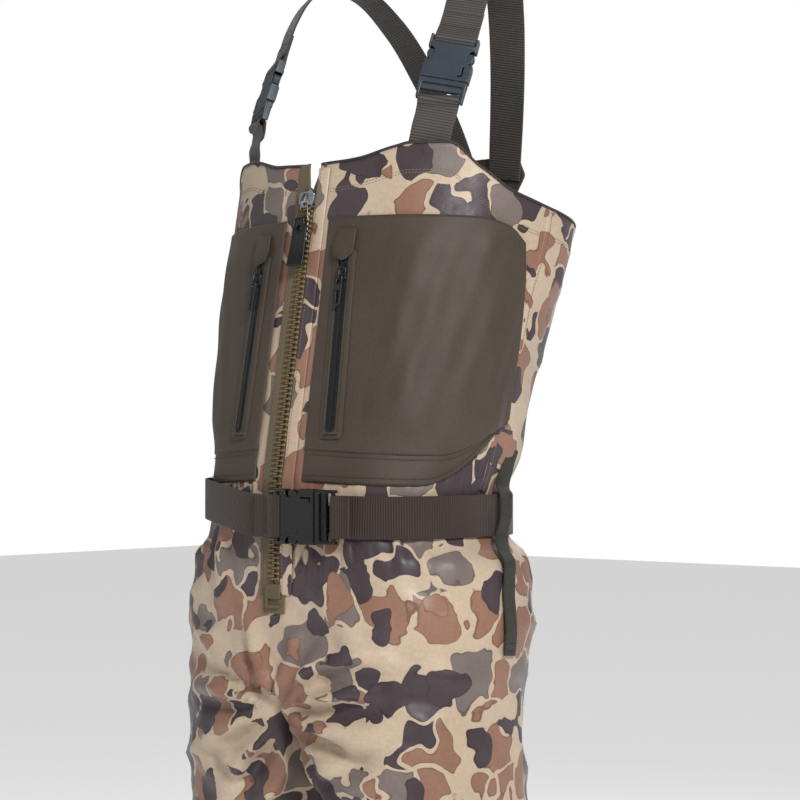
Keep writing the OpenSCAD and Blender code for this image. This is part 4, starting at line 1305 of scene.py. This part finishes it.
def zip_end():
    """The docking end: a moulded block at the foot of the teeth on a sewn patch with an L-shaped rib."""
    p = Parts()
    m, z0 = ZIP_LOW_FRAME, -ZIP_DOWN
    slab(p, m, rect(-10, z0 - 8, 10, z0 + 6), 2.2, -4.7, -1.8, 0.8)
    slab(p, m, rect(-13.5, z0 - 22, 13.5, z0 + 2), 1.5, -1.9, -0.3, 0.4, mat=1)
    rib = [(-8, z0 - 16.5), (9, z0 - 16.5), (9, z0 - 13.7), (-5.4, z0 - 13.7), (-5.4, z0 + 4), (-8, z0 + 4)]
    slab(p, m, rib, 0.6, -5.3, -1.6, 0.45, n=3)
    sewn = [(-12, 0), (-12, -19), (-11, -20.6), (11, -20.6), (12, -19), (12, 0)]
    w = moved(spline([(x, -1.95, z0 + z) for x, z in sewn], 120), m)
    stitches(p, w, np.broadcast_to([0, -1.0, 0], w.shape), mat=2)
    p.piece("zip_end_block", [MAT["dock"], MAT["tape"], MAT["thread"]], slot="zip_teeth",
            replaces=["zip_docking_end"])


def zip_slider():
    p = Parts()
    m = ZIP_FRAME @ shift(0, 0, SLIDER_AT)
    half = [(6.4, -11), (9.6, -4), (10, 5.5), (5.2, 11.5), (2.9, 11.5), (2.2, 8.4)]
    shield = [(-6.4, -11)] + half + [(-x, z) for x, z in half[:0:-1]]
    v, f = plate([rounded(shield, [2, 2, 3, 3, 1.5, 0.8, 1.2, 1.2, 0.8, 1.5, 3, 3], 4)], -7.2, -5.0, 0.8, 3)
    v[:, 1] -= 0.7 * np.exp(-(v[:, 0] / 4.5) ** 2) * (v[:, 1] < -6)
    p.add(v, f, 0, m)
    for x in (-8.6, 8.6):
        p.add(*block((x - 0.9, -5.4, -4.5), (x + 0.9, -2.1, 6), 0.6), 0, m)
    lug = [(-7.2, -9.6), (-9.4, -9.6), (-12.7, -6.8), (-12.7, -3.0), (-9.8, 5.4), (-7.2, 6.6)]
    hole = [(-10 + 1.45 * math.cos(a), -6 + 1.45 * math.sin(a))
            for a in np.linspace(0, 2 * math.pi, 20, endpoint=False)]
    v, f = plate([rounded(lug, [0.5, 2, 2.4, 2.4, 3, 0.5]), hole], -1.9, 1.9, 0.45)
    p.add(v[:, [1, 0, 2]], flipped(f), 0, m)
    p.piece("zip_slider_body", [MAT["nickel"]], body="zip_slider", slot="slider_metal",
            replaces=["zip_slider"], sharp=35)


def zip_link():
    p = Parts()
    loop = rounded([(-5.2, 0), (5.2, 0), (8.3, -LINK_LEN), (-8.3, -LINK_LEN)], 1.4, 6)
    p.add(*tube([(x, 0, z) for x, z in loop], 0.95, 10, closed=True), 0,
          ZIP_FRAME @ shift(0, HINGE_Y, HINGE_Z))
    p.piece("zip_wire_link", [MAT["brass"]], body="zip_link", slot="link_brass", replaces=["zip_pull_link"])


def zip_tab():
    """A rubber strip folded over the link and held by a domed rivet."""
    m = ZIP_FRAME @ shift(0, HINGE_Y, HINGE_Z - LINK_LEN)
    face = [(-1.6, 3.1), (-3.1, 1.6), (-3.1, -2), (-2.4, -5.5), (-2.2, -12), (-2.0, -22), (-2.5, -34),
            (-4.1, -45.0)]
    back = [(-1.9, -45.8), (-0.1, -36), (0.6, -24), (0.9, -12), (1.2, -5.5), (3.0, -2), (3.0, 1.6)]
    a, b = (spline([(0, y, z) for y, z in line], n) for line, n in ((face, 46), (back, 40)))
    section = np.concatenate([a, [(0, -3.8, -46.2), (0, -2.9, -46.4)], b, [(0, 1.9, 3.0)]])
    z = section[:, 2]
    half = 6.2 + 2.8 * smooth(-z, 2, 9) + 1.2 * smooth(-z, 20, 38) - 2.0 * smooth(-z, 43.5, 47)
    mid = np.interp(z, [-46.6, -36, -24, -12, 3], [-3.0, -1.3, -0.7, -0.6, 0])
    rows = []
    for s, shrink in ((-1, 0.55), (-0.97, 0.25), (-0.86, 0), (-0.5, 0), (0, 0), (0.5, 0), (0.86, 0),
                      (0.97, 0.25), (1, 0.55)):
        rows.append(np.stack([half * s, mid + (section[:, 1] - mid) * (1 - shrink), z], -1))
    g = np.array(rows)
    p = Parts()
    p.add(g, grid_faces(len(g), len(z), True) + caps(len(g), len(z)), 0, m)
    p.piece("zip_pull_strip", [MAT["tab"]], body="zip_tab", slot="tab_rubber", replaces=["zip_pull_tab"])
    q = Parts()
    dome = [(0.3, 2.2), (1.6, 2.05), (2.8, 1.55), (3.6, 0.8), (3.9, 0.1), (3.7, -0.2), (2.4, -0.25)]
    v, f = lathe(dome, 32)
    q.add(np.stack([v[:, 0], -2.15 - v[:, 2], v[:, 1] - 9], -1), flipped(f), 0, m)
    v, f = lathe([(0.4, 0.95), (2.4, 0.9), (3.3, 0.75), (2.9, -0.2)], 28)
    q.add(np.stack([v[:, 0], 1.0 + v[:, 2], v[:, 1] - 9], -1), f, 0, m)
    q.piece("zip_pull_rivet_head", [MAT["rivet"]], body="zip_tab", slot="rivet_black",
            replaces=["zip_pull_rivet"])


def build_zip():
    for side in WHO:
        zip_tape(side)
        zip_teeth(side)
    zip_placket()
    zip_end()
    zip_slider()
    zip_link()
    zip_tab()


# ---------------------------------------------------------------- buckles
# In a buckle's frame +X points from the female half to the male half, -Y outward and Z across the webbing.
SHELL_LENGTH, FRAME_LENGTH = 48, 22
WEBBING = 40


def boxes(parts, m, rows):
    """Adds rounded boxes: each row is two corners and the edge radius."""
    for lo, hi, r in rows:
        parts.add(*block(lo, hi, r, 3 if r > 1 else 2), 0, m)


def female_half(parts, m, width):
    """The receiving half: a hollow body with side windows, a raised rim and a bar for the webbing."""
    h, L = width / 2, SHELL_LENGTH
    half = [(10 - L, h - 2.2), (-34, h - 1.6), (-33, h - 5.2), (-30, h - 7.6), (-21, h - 7.6),
            (-18.5, h - 4.6),
            (-17, h), (0, h - 0.2)]
    face = [(x, -z) for x, z in half] + half[::-1]
    mark = [(-15.5, h - 7.6), (-4.4, h - 7.6), (-4.4, h - 12.4), (-5.7, h - 12.4), (-5.7, h - 8.9),
            (-15.5, h - 8.9)]
    slab(parts, m, face, 1.4, -10.0, -8.2, 0.7, n=4, holes=[rounded(mark, 0.35, 3)])
    slab(parts, m, face, 1.4, -1.8, 0.0, 0.7, n=4)
    slab(parts, m, rect(-3.2, 2.2 - h, -0.4, h - 2.2), 1.0, -10.5, -9.4, 0.45)
    boxes(parts, m, [((a, -9.2, s * (h - 1.4) - 1.35), (b, -0.8, s * (h - 1.4) + 1.35), 0.9)
                     for s in (-1, 1) for a, b in ((-L + 0.4, -33.0), (-19.0, 0.0))])
    boxes(parts, m, [((-L + 8.6, -9.4, -h + 2), (-L + 11.2, -0.6, h - 2), 0.8),
                     ((-L, -7.0, -h + 1.2), (-L + 4.4, -3.0, h - 1.2), 1.6)])


def male_half(parts, m, width):
    """The inserted half: a frame with a ribbed bar, an open slot and the guide prong."""
    h, L = width / 2, FRAME_LENGTH
    outer = [(0.6, -h + 0.6), (L, -h + 0.8), (L, h - 0.8), (0.6, h - 0.6)]
    v, f = plate([rounded(outer, 2.2), rounded(rect(6.0, -h + 4.0, L - 3.6, h - 4.0), 1.0)], -9.6, -6.8, 0.8)
    v[:, 1] += 2.0 * smooth(v[:, 0], 10, L)
    parts.add(v, f, 0, m)
    slab(parts, m, rect(0.6, -h + 0.6, 8, h - 0.6), 1.6, -7.4, -1.0, 0.9)
    boxes(parts, m, [((7.0, -7.4, s * (h - 2.2) - 1.4), (L, -1.4, s * (h - 2.2) + 1.4), 0.9)
                     for s in (-1, 1)])
    boxes(parts, m, [((7.4, -8.3, -h + 2.2), (13.0, -3.2, h - 2.2), 1.2)])
    for z in np.arange(-h + 5, h - 4.9, 1.7):
        parts.add(*block((8.2, -9.0, z - 0.5), (12.4, -7.9, z + 0.5), 0.35, 1), 0, m)
    slab(parts, m, [(-26, -1.6), (-24, -3), (1, -3), (1, 3), (-24, 3), (-26, 1.6)], 0.8, -7.2, -2.8, 0.6)


def latch(parts, m, width, s):
    """One sprung arm with its ridged thumb pad."""
    z = s * (width / 2 - 7.4)
    slab(parts, m, [(1.6, z - 1.1), (1.6, z + 1.1), (-20, z + 1.1), (-20, z - 1.1)], 0.6, -7.4, -2.6, 0.5)
    pad = [(-31, -1.2), (-19.5, -1.2), (-19.5, 2.0), (-22, 5.0), (-25.5, 6.9), (-29, 6.6), (-31, 4.4)]
    slab(parts, m, [(x, z + s * q) for x, q in pad][::s], 1.0, -8.4, -1.6, 0.8)
    for k in range(5):
        x = -29 + k * 1.9
        e = z + s * (6.2 - abs(k - 1.6) * 0.6)
        boxes(parts, m, [((x - 0.45, -7.6, min(e, e + s * 0.9)), (x + 0.45, -2.4, max(e, e + s * 0.9)), 0.3)])
    v, f = lathe([(0.9, 2.4), (1.9, 2.1), (2.0, 0), (1.9, -2.1), (0.9, -2.4)], 18)
    parts.add(np.stack([v[:, 0] + 2, v[:, 2] - 5, v[:, 1] + z], -1), flipped(f), 0, m)


def buckle(prefix, m, width, slot, names):
    """A whole side-release buckle: names gives each piece's CAD node and body."""
    for kind, (node, body) in names.items():
        p = Parts()
        if kind == "female":
            female_half(p, m, width)
        elif kind == "male":
            male_half(p, m, width)
        else:
            latch(p, m, width, 1 if kind == "latch_a" else -1)
        p.piece(prefix + "_" + kind + "_shell", [MAT[slot]], body=body, slot=slot, replaces=[node], sharp=40)


# ---------------------------------------------------------------- straps
RIB_PITCH = 2.8
BUCKLE_UP = 63.5


def soft_ribs(depth):
    return lambda run: depth * np.sin(run * 2 * math.pi / RIB_PITCH)


def deep_ribs(depth, pitch):
    return lambda run: depth * (np.abs(np.sin(run * math.pi / pitch)) - 0.5)


def strip(points, across, step, width, thick, ribs):
    """Webbing along the points: ribs gives the extra half thickness at each run along it."""
    path, ac = webbing_path(points, across, step)
    return ribbon(path, ac, width, thick, rib=ribs(np.arange(len(path)) * step))


def strap_frame(side):
    """The strap buckle's frame, then the left strap's foot, direction, outward and across directions."""
    lean = math.radians(23)
    d = np.array([0, math.sin(lean), math.cos(lean)])
    across = np.array([0.845, 0.534, 0.0])
    w = unit(across - d * (across @ d))
    out = np.cross(w, d)
    foot = np.array([116.5, -39.5, 1335.0])
    m = np.eye(4)
    m[:3, 0], m[:3, 1], m[:3, 2], m[:3, 3] = -d, -out, np.cross(-d, -out), foot + d * BUCKLE_UP + out * 1.5
    return (MIRROR @ m if side < 0 else m), foot, d, out, across


def fold_strip(parts, m):
    """The strap's end folded round the buckle's bar and sewn to itself."""
    x = -SHELL_LENGTH
    line = [(-30, -3.6), (-12, -4.6), (-4, -7.6), (1, -8.9), (4.6, -8.7), (6.5, -7.0), (6.6, -3.2),
            (4.8, -1.5),
            (1, -1.2), (-6, -1.5), (-32, -1.5)]
    v, f, uv = strip([(x + a, b, 0) for a, b in line], [(0, 0, 1)] * len(line), 0.7, WEBBING, 1.9,
                     soft_ribs(0.16))
    parts.add(v, f, 0, m, uv)
    for xs, y in ((x - 12, -5.75), (x - 27, -4.65)):
        stitch_on(parts, [(xs, y, z) for z in np.linspace(-17, 17, 20)], m, mat=1, lift=0.2)


def build_strap(side):
    who = WHO[side]
    m, foot, d, out, across = strap_frame(side)
    names = {"female": (who + "_strap_female", BASE), "male": (who + "_strap_male", who + "_strap_male"),
             "latch_a": (who + "_strap_latch_a", who + "_latch_a"),
             "latch_b": (who + "_strap_latch_b", who + "_latch_b")}
    buckle(who + "_strap", m, 48, "strap_buckle", names)
    top = foot + d * (BUCKLE_UP + SHELL_LENGTH + 16) + out * 4.1
    pts = [top - d * 22, top - d * 8, top, (117.8, 20, 1484), (114.5, 44, 1517), (107, 73, 1536),
           (94, 104, 1530),
           (76, 136, 1498), (58, 163, 1450), (42, 183, 1398), (31, 194.5, 1353), (27, 198.6, 1331)]
    turns = [(0.88, 0.47, 0), (0.88, 0.45, -0.12), (0.88, 0.40, -0.28), (0.88, 0.30, -0.34),
             (0.9, 0.2, -0.3), (0.95, 0.1, -0.2), (0.97, 0.05, -0.2)]
    v, f, uv = strip(pts, [across] * 5 + turns, 0.9, WEBBING, 2.0, soft_ribs(0.12))
    p = Parts()
    p.add(mirrored(v, side), flipped(f, side < 0), 0, None, uv)
    fold_strip(p, m)
    p.piece(who + "_shoulder_webbing", [MAT["strap"], MAT["thread_dark"]], slot="strap_webbing",
            replaces=[who + "_shoulder_strap"])
    lower_webbing(side, who, foot, d, out, across)


def lower_webbing(side, who, foot, d, out, across):
    """The short webbing sewn inside the peak, looped round the inserted half's end bar; it is attached to no
    body.
    """
    loop = [(46, -1.2), (34, -2.0), (27, -4.4), (23.6, -7.6), (20.6, -8.2), (18.2, -7.0), (18.0, -4.0),
            (20.5, -2.2),
            (27, -0.6), (40, 0.8)]
    low = [torso_flat(44.5, z, -7.6) for z in (1296.0, 1316.0, 1328.0)] + [foot + d * 5 - out]
    low += [foot + d * (BUCKLE_UP - x) + out * (1.5 - y) for x, y in loop]
    v, f, uv = strip(low, [across] * len(low), 0.5, WEBBING - 0.4, 1.9, deep_ribs(0.42, 2.9))
    p = Parts()
    p.add(mirrored(v, side), flipped(f, side < 0), 0, None, uv)
    o = p.piece(who + "_lower_strap_webbing", [MAT["strap"]], body=None, slot="strap_webbing",
                replaces=[who + "_lower_webbing"])
    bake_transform(o)


# ---------------------------------------------------------------- belt
BELT_Z = 980
BELT_FRAME = np.array(Matrix.Translation((59, -129.6, BELT_Z)) @ Matrix.Rotation(math.radians(6), 4, "Z"))


def belt_rise(phi):
    """The belt rides higher on the wearer's right."""
    return np.interp(phi, [200, 235, 262, 285, 305, 325, 345, 354], [0, 2, 9, 14, 14, 10, 2, 0])


def belt_point(phi, z, off):
    phi = np.asarray(phi, float)
    depth = np.where(cosd(phi) > 0, 123.8, 119.0)
    x, y = ring(phi, 157.4 + off, depth + off)
    lift = np.where(phi < 318, 0, 7.2 * (1 - np.cos(np.pi * np.clip((phi - 318) / 32, 0, 1))) / 2)
    return np.stack([x, y - 8 - lift, z + 0 * x], -1)


def belt_male_loop():
    """The webbing's loop round the inserted half's end bar; it moves with that half."""
    line = [(35, -2.4), (30, -3.3), (25, -6.5), (22.6, -8.8), (19.4, -8.6), (17.7, -6.9), (18.0, -3.7),
            (20.4, -2.1), (24, -1.8), (30, -1.65), (33, -1.65)]
    v, f, uv = strip([(a, b, 0) for a, b in line], [(0, 0, -1)] * len(line), 0.5, WEBBING - 0.6, 1.7,
                     deep_ribs(0.10, 2.1))
    p = Parts()
    p.add(v, f, 0, BELT_FRAME, uv)
    p.piece("belt_male_loop", [MAT["belt"]], body="belt_male", slot="belt_webbing")


def build_belt():
    phi = np.linspace(32, 356, 520)
    mid = belt_point(phi, BELT_Z + 0 * phi, 1.1)
    sag = 0.8 * waves(phi * 2.7, phi * 0, 71, 5, 160) * smooth(phi, 32, 50) * smooth(351 - phi, 0, 20)
    mid[:, 2] += sag + np.convolve(np.pad(belt_rise(phi), 20, mode="edge"), np.ones(41) / 41, "valid")
    v, f, uv = ribbon(mid, [(0, 0, -1)] * len(mid), WEBBING, 2.2)
    p = Parts()
    p.add(v, f, 0, None, uv)
    fold_strip(p, BELT_FRAME)
    for a in (34.5, 37.0):
        pts = belt_point(np.full(30, a), np.linspace(BELT_Z - 17, BELT_Z + 17, 30), 2.3)
        stitches(p, pts, np.tile(pts[0] / np.linalg.norm(pts[0]) * [1, 1, 0], (30, 1)), mat=1)
    p.piece("waist_belt_webbing", [MAT["belt"], MAT["thread_dark"]], slot="belt_webbing",
            replaces=["waist_belt"])
    names = {"female": ("belt_buckle_female", BASE), "male": ("belt_buckle_male", "belt_male"),
             "latch_a": ("belt_latch_upper",) * 2, "latch_b": ("belt_latch_lower",) * 2}
    buckle("belt", BELT_FRAME, 52, "belt_buckle", names)
    belt_male_loop()
    belt_loops()


def belt_loops():
    p = Parts()
    upper = [(104.0, 1044.0, 2.4), (103.0, 1026.0, 2.4), (101.0, 1008.0, 8.5)]
    over_belt = [(99.0, 1000.0, 8.0), (97.0, 980.0, 12.0), (95.0, 960.0, 11.5)]
    lower = [(93.5, 948.0, 10.5), (92.0, 937.0, 5.4), (91.0, 922.0, 3.2), (90.0, 906.0, 2.5),
             (90.0, 886.0, 2.3),
             (90.0, 868.0, 2.3), (90.0, 850.0, 2.1)]
    for side, up in ((1, 0), (-1, 14)):
        pts = [torso_flat(a, z + up, off) for a, z, off in upper]
        pts += [belt_point(a, z + up, off) for a, z, off in over_belt]
        pts += [torso_flat(a, z, off) for a, z, off in lower]
        path, ac = webbing_path(pts, [(-0.1, 1, 0)] * len(pts))
        v, f, uv = ribbon(path[::-1], ac[::-1], 20, 1.6)
        p.add(mirrored(v, side), flipped(f, side < 0), 0, None, uv)
        for k in (5, 14, len(path) - 15, len(path) - 6):
            a = np.array([path[k] + np.array([-0.1, 1, 0]) * t for t in np.linspace(-8, 8, 14)])
            n = np.tile([1.0, 0.1, 0], (14, 1))
            stitches(p, mirrored(a + n * 0.9, side), mirrored(n, side), pitch=1.6, length=1.4, mat=1)
    p.piece("belt_loop_webbing", [MAT["loop"], MAT["thread_dark"]], slot="loop_webbing",
            replaces=["belt_loops"])


def build_back():
    """The patch behind that joins the straps, sewn round its edge and with a crossed box at each strap."""
    p = Parts()
    at = np.array([0, 203.6, 1322])
    half = [(24, -34), (52, 12), (44, 30), (20, 34)]
    patch = [(-24, -34)] + half + [(-x, z) for x, z in half[:0:-1]]
    slab(p, shift(*at), patch, 6, -3.0, 0.0, 0.9, n=6)
    edge = rounded([(a * 0.88, b * 0.86) for a, b in patch], 5, 6)
    rows = [np.array([(a, 0.05, b) for a, b in edge + edge[:1]])]
    for s in (-1, 1):
        box = [(14, 4), (34, 4), (34, 24), (14, 24), (14, 4), (34, 24)]
        rows.append(spline([(s * x, 0.05, z) for x, z in box], 90))
    for line in rows:
        stitches(p, line + at, np.tile([0, 1.0, 0], (len(line), 1)), mat=1)
    p.piece("back_patch_leather", [MAT["pocket"], MAT["thread"]], slot="pocket_cloth",
            replaces=["back_patch"])
    rise = [(175, 1196), (184.2, 1222), (194.3, 1250), (197.2, 1262), (198.6, 1275), (199, 1300)]
    v, f, uv = strip([(0, y, z) for y, z in rise], [(-1, 0, 0)] * len(rise), 0.9, WEBBING, 2.0,
                     soft_ribs(0.12))
    q = Parts()
    q.add(v, f, 0, None, uv)
    q.piece("back_strap_webbing", [MAT["strap"]], slot="strap_webbing", replaces=["back_webbing"])


# ---------------------------------------------------------------- boots


def foot_point(z, phi, off):
    rear, fore, w = (pchip(z, BOOT[:, 0], BOOT[:, k]) for k in (1, 2, 3))
    half, mid = (rear - fore) / 2 + off, (rear + fore) / 2
    x, y = ring(phi, w + off, half)
    front = np.clip(-y / half, 0, None)
    x = x * (1 - 0.10 * (1 - front) * np.clip((half - 62) / 40, 0, 1))
    return np.stack([BOOT_X + x, mid + y, z + 0 * x], -1)


def boot_relief(phi, z):
    """Moulded details of the rubber: a foxing band, a toe cap, a heel strip and ankle creases."""
    out = 1.8 * smooth(47 - z, 0, 3) + 0.8 * smooth(34 - z, 0, 1.5)
    p = np.abs((phi + 180) % 360 - 180)
    toe = smooth(46 - p, 0, 4) * smooth(72 - z, 0, 3)
    out = np.maximum(out, 1.9 * toe)
    heel = smooth(p, 156, 160) * smooth(190 - z, 0, 6) * smooth(z, 30, 36)
    out = np.maximum(out, 1.6 * heel)
    ankle = np.exp(-((z - 135) / 30.0) ** 2) * smooth(100 - p, 0, 60)
    out = out + 2.2 * ankle * (ridged(1.2 * waves(phi * 0.25, z, 81, 5, 26, tilt=1.57)) - 0.3)
    shaft = smooth(z, 180, 230) * 0.8 * waves(phi, z, 83, 6, 90)
    return out + shaft


def boot_collars():
    """The pair of moulded bands that join the legs to the boots."""
    phi = np.linspace(0, 360, 96, endpoint=False)
    rows = []
    for z, off in ((300, 1.8), (300, 3.6), (303, 4.6), (307, 4.6), (309, 3.9), (314, 3.8), (322, 3.7),
                   (328, 3.9),
                   (330, 4.7), (334, 4.7), (336, 3.6), (336, 2.0)):
        c = [pchip(z, LEG[:, 0], LEG[:, k]) for k in (1, 2, 3, 4)]
        x, y = ring(phi, c[2] + off, c[3] + off)
        rows.append(np.stack([c[0] + x, c[1] + y, z + 0 * x], -1))
    g = np.array(rows)
    inner = g.copy()
    mid = np.array([BOOT_X, 36])
    inner[..., :2] = mid + (g[..., :2] - mid) * 0.985
    v, f, _ = shell(g, inner, True)
    p = Parts()
    for side in WHO:
        p.add(mirrored(v, side), flipped(f, side < 0))
    p.piece("boot_collar_bands", [MAT["boot"]], slot="boot_rubber", replaces=["boot_collars"])


def build_boots():
    phi = np.linspace(0, 360, 144, endpoint=False)[None, :]
    z = np.concatenate([np.linspace(20.4, 110, 70), np.linspace(112, 330, 84)])[:, None]
    z = np.broadcast_to(z, (z.shape[0], 144))
    relief = boot_relief(phi, z)
    g = foot_point(z, phi + 0 * z, relief)
    v, f, _ = shell(g, foot_point(z, phi + 0 * z, -2.6), True)
    for side, who in WHO.items():
        make(who + "_boot_rubber", mirrored(v, side), flipped(f, side < 0), MAT["boot"], slot="boot_rubber",
             replaces=[who + "_boot_upper"])
    boot_collars()
    for n, mat in (("left_boot_outsole", "sole"), ("right_boot_outsole", "sole"), ("boot_insoles", "insole")):
        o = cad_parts[n]
        o.data.materials.clear()
        o.data.materials.append(MAT[mat])
        b = o.modifiers.new("edges", "BEVEL")
        b.width, b.segments, b.limit_method, b.angle_limit = 0.0008, 2, "ANGLE", math.radians(40)


# ---------------------------------------------------------------- stage


def point_at(o, at, aim):
    o.location = at
    o.rotation_euler = (aim - at).to_track_quat("-Z", "Y").to_euler()


def area_light(name, at, aim, size, power):
    d = bpy.data.lights.new(name, "AREA")
    d.shape, d.size, d.size_y, d.energy = "RECTANGLE", size, size, power
    point_at(link(name, d), Vector(at), Vector(aim))


def studio():
    m = Mat("floor_paper", rough=0.9, specular=0.1)
    p = m.coords()
    m.b.inputs["Emission Color"].default_value = (1, 1, 1, 1)
    m.b.inputs["Emission Strength"].default_value = 0.42
    color = m.mix(m.noise(p, 2, 2), (0.90, 0.90, 0.89), (0.93, 0.93, 0.92))
    m.finish(color, None, m.bump(m.noise(p, 60, 2), 0.05))
    me = bpy.data.meshes.new("floor")
    w = 14.0
    me.from_pydata([(-w, -w, 0), (w, -w, 0), (w, w, 0), (-w, w, 0)], [], [(0, 1, 2, 3)])
    me.materials.append(m.m)
    link("floor", me)
    world = bpy.data.worlds.new("studio")
    world.use_nodes = True
    t = world.node_tree
    back = t.nodes["Background"]
    back.inputs["Color"].default_value = (1.0, 1.0, 1.0, 1)
    path = t.nodes.new("ShaderNodeLightPath")
    level = t.nodes.new("ShaderNodeMapRange")
    level.inputs["To Min"].default_value, level.inputs["To Max"].default_value = 0.25, 1.0
    t.links.new(path.outputs["Is Camera Ray"], level.inputs["Value"])
    t.links.new(level.outputs["Result"], back.inputs["Strength"])
    bpy.context.scene.world = world
    area_light("key", (3.0, -1.7, 3.0), (0, 0, 1.0), 1.0, 122)
    area_light("fill", (-2.2, -3.2, 2.0), (0, 0, 1.0), 2.0, 12)
    area_light("rim", (-1.0, 3.0, 2.8), (0, 0, 1.1), 2.0, 22)
    bpy.context.scene.view_settings.view_transform = "Standard"


def camera():
    c = bpy.data.cameras.new("camera")
    c.lens, c.sensor_width, c.clip_end = 90, 36, 60
    aside = Vector((0.766, 0.643, 0)) * 0.0366
    o = link("camera", c)
    point_at(o, Vector((1.286, -1.532, 1.045)) + aside, Vector((0, 0, 1.092)) + aside)
    bpy.context.scene.camera = o


camera()
studio()
build_bib()
build_trousers()
build_pockets()
build_zip()
build_strap(1)
build_strap(-1)
build_belt()
build_back()
build_boots()
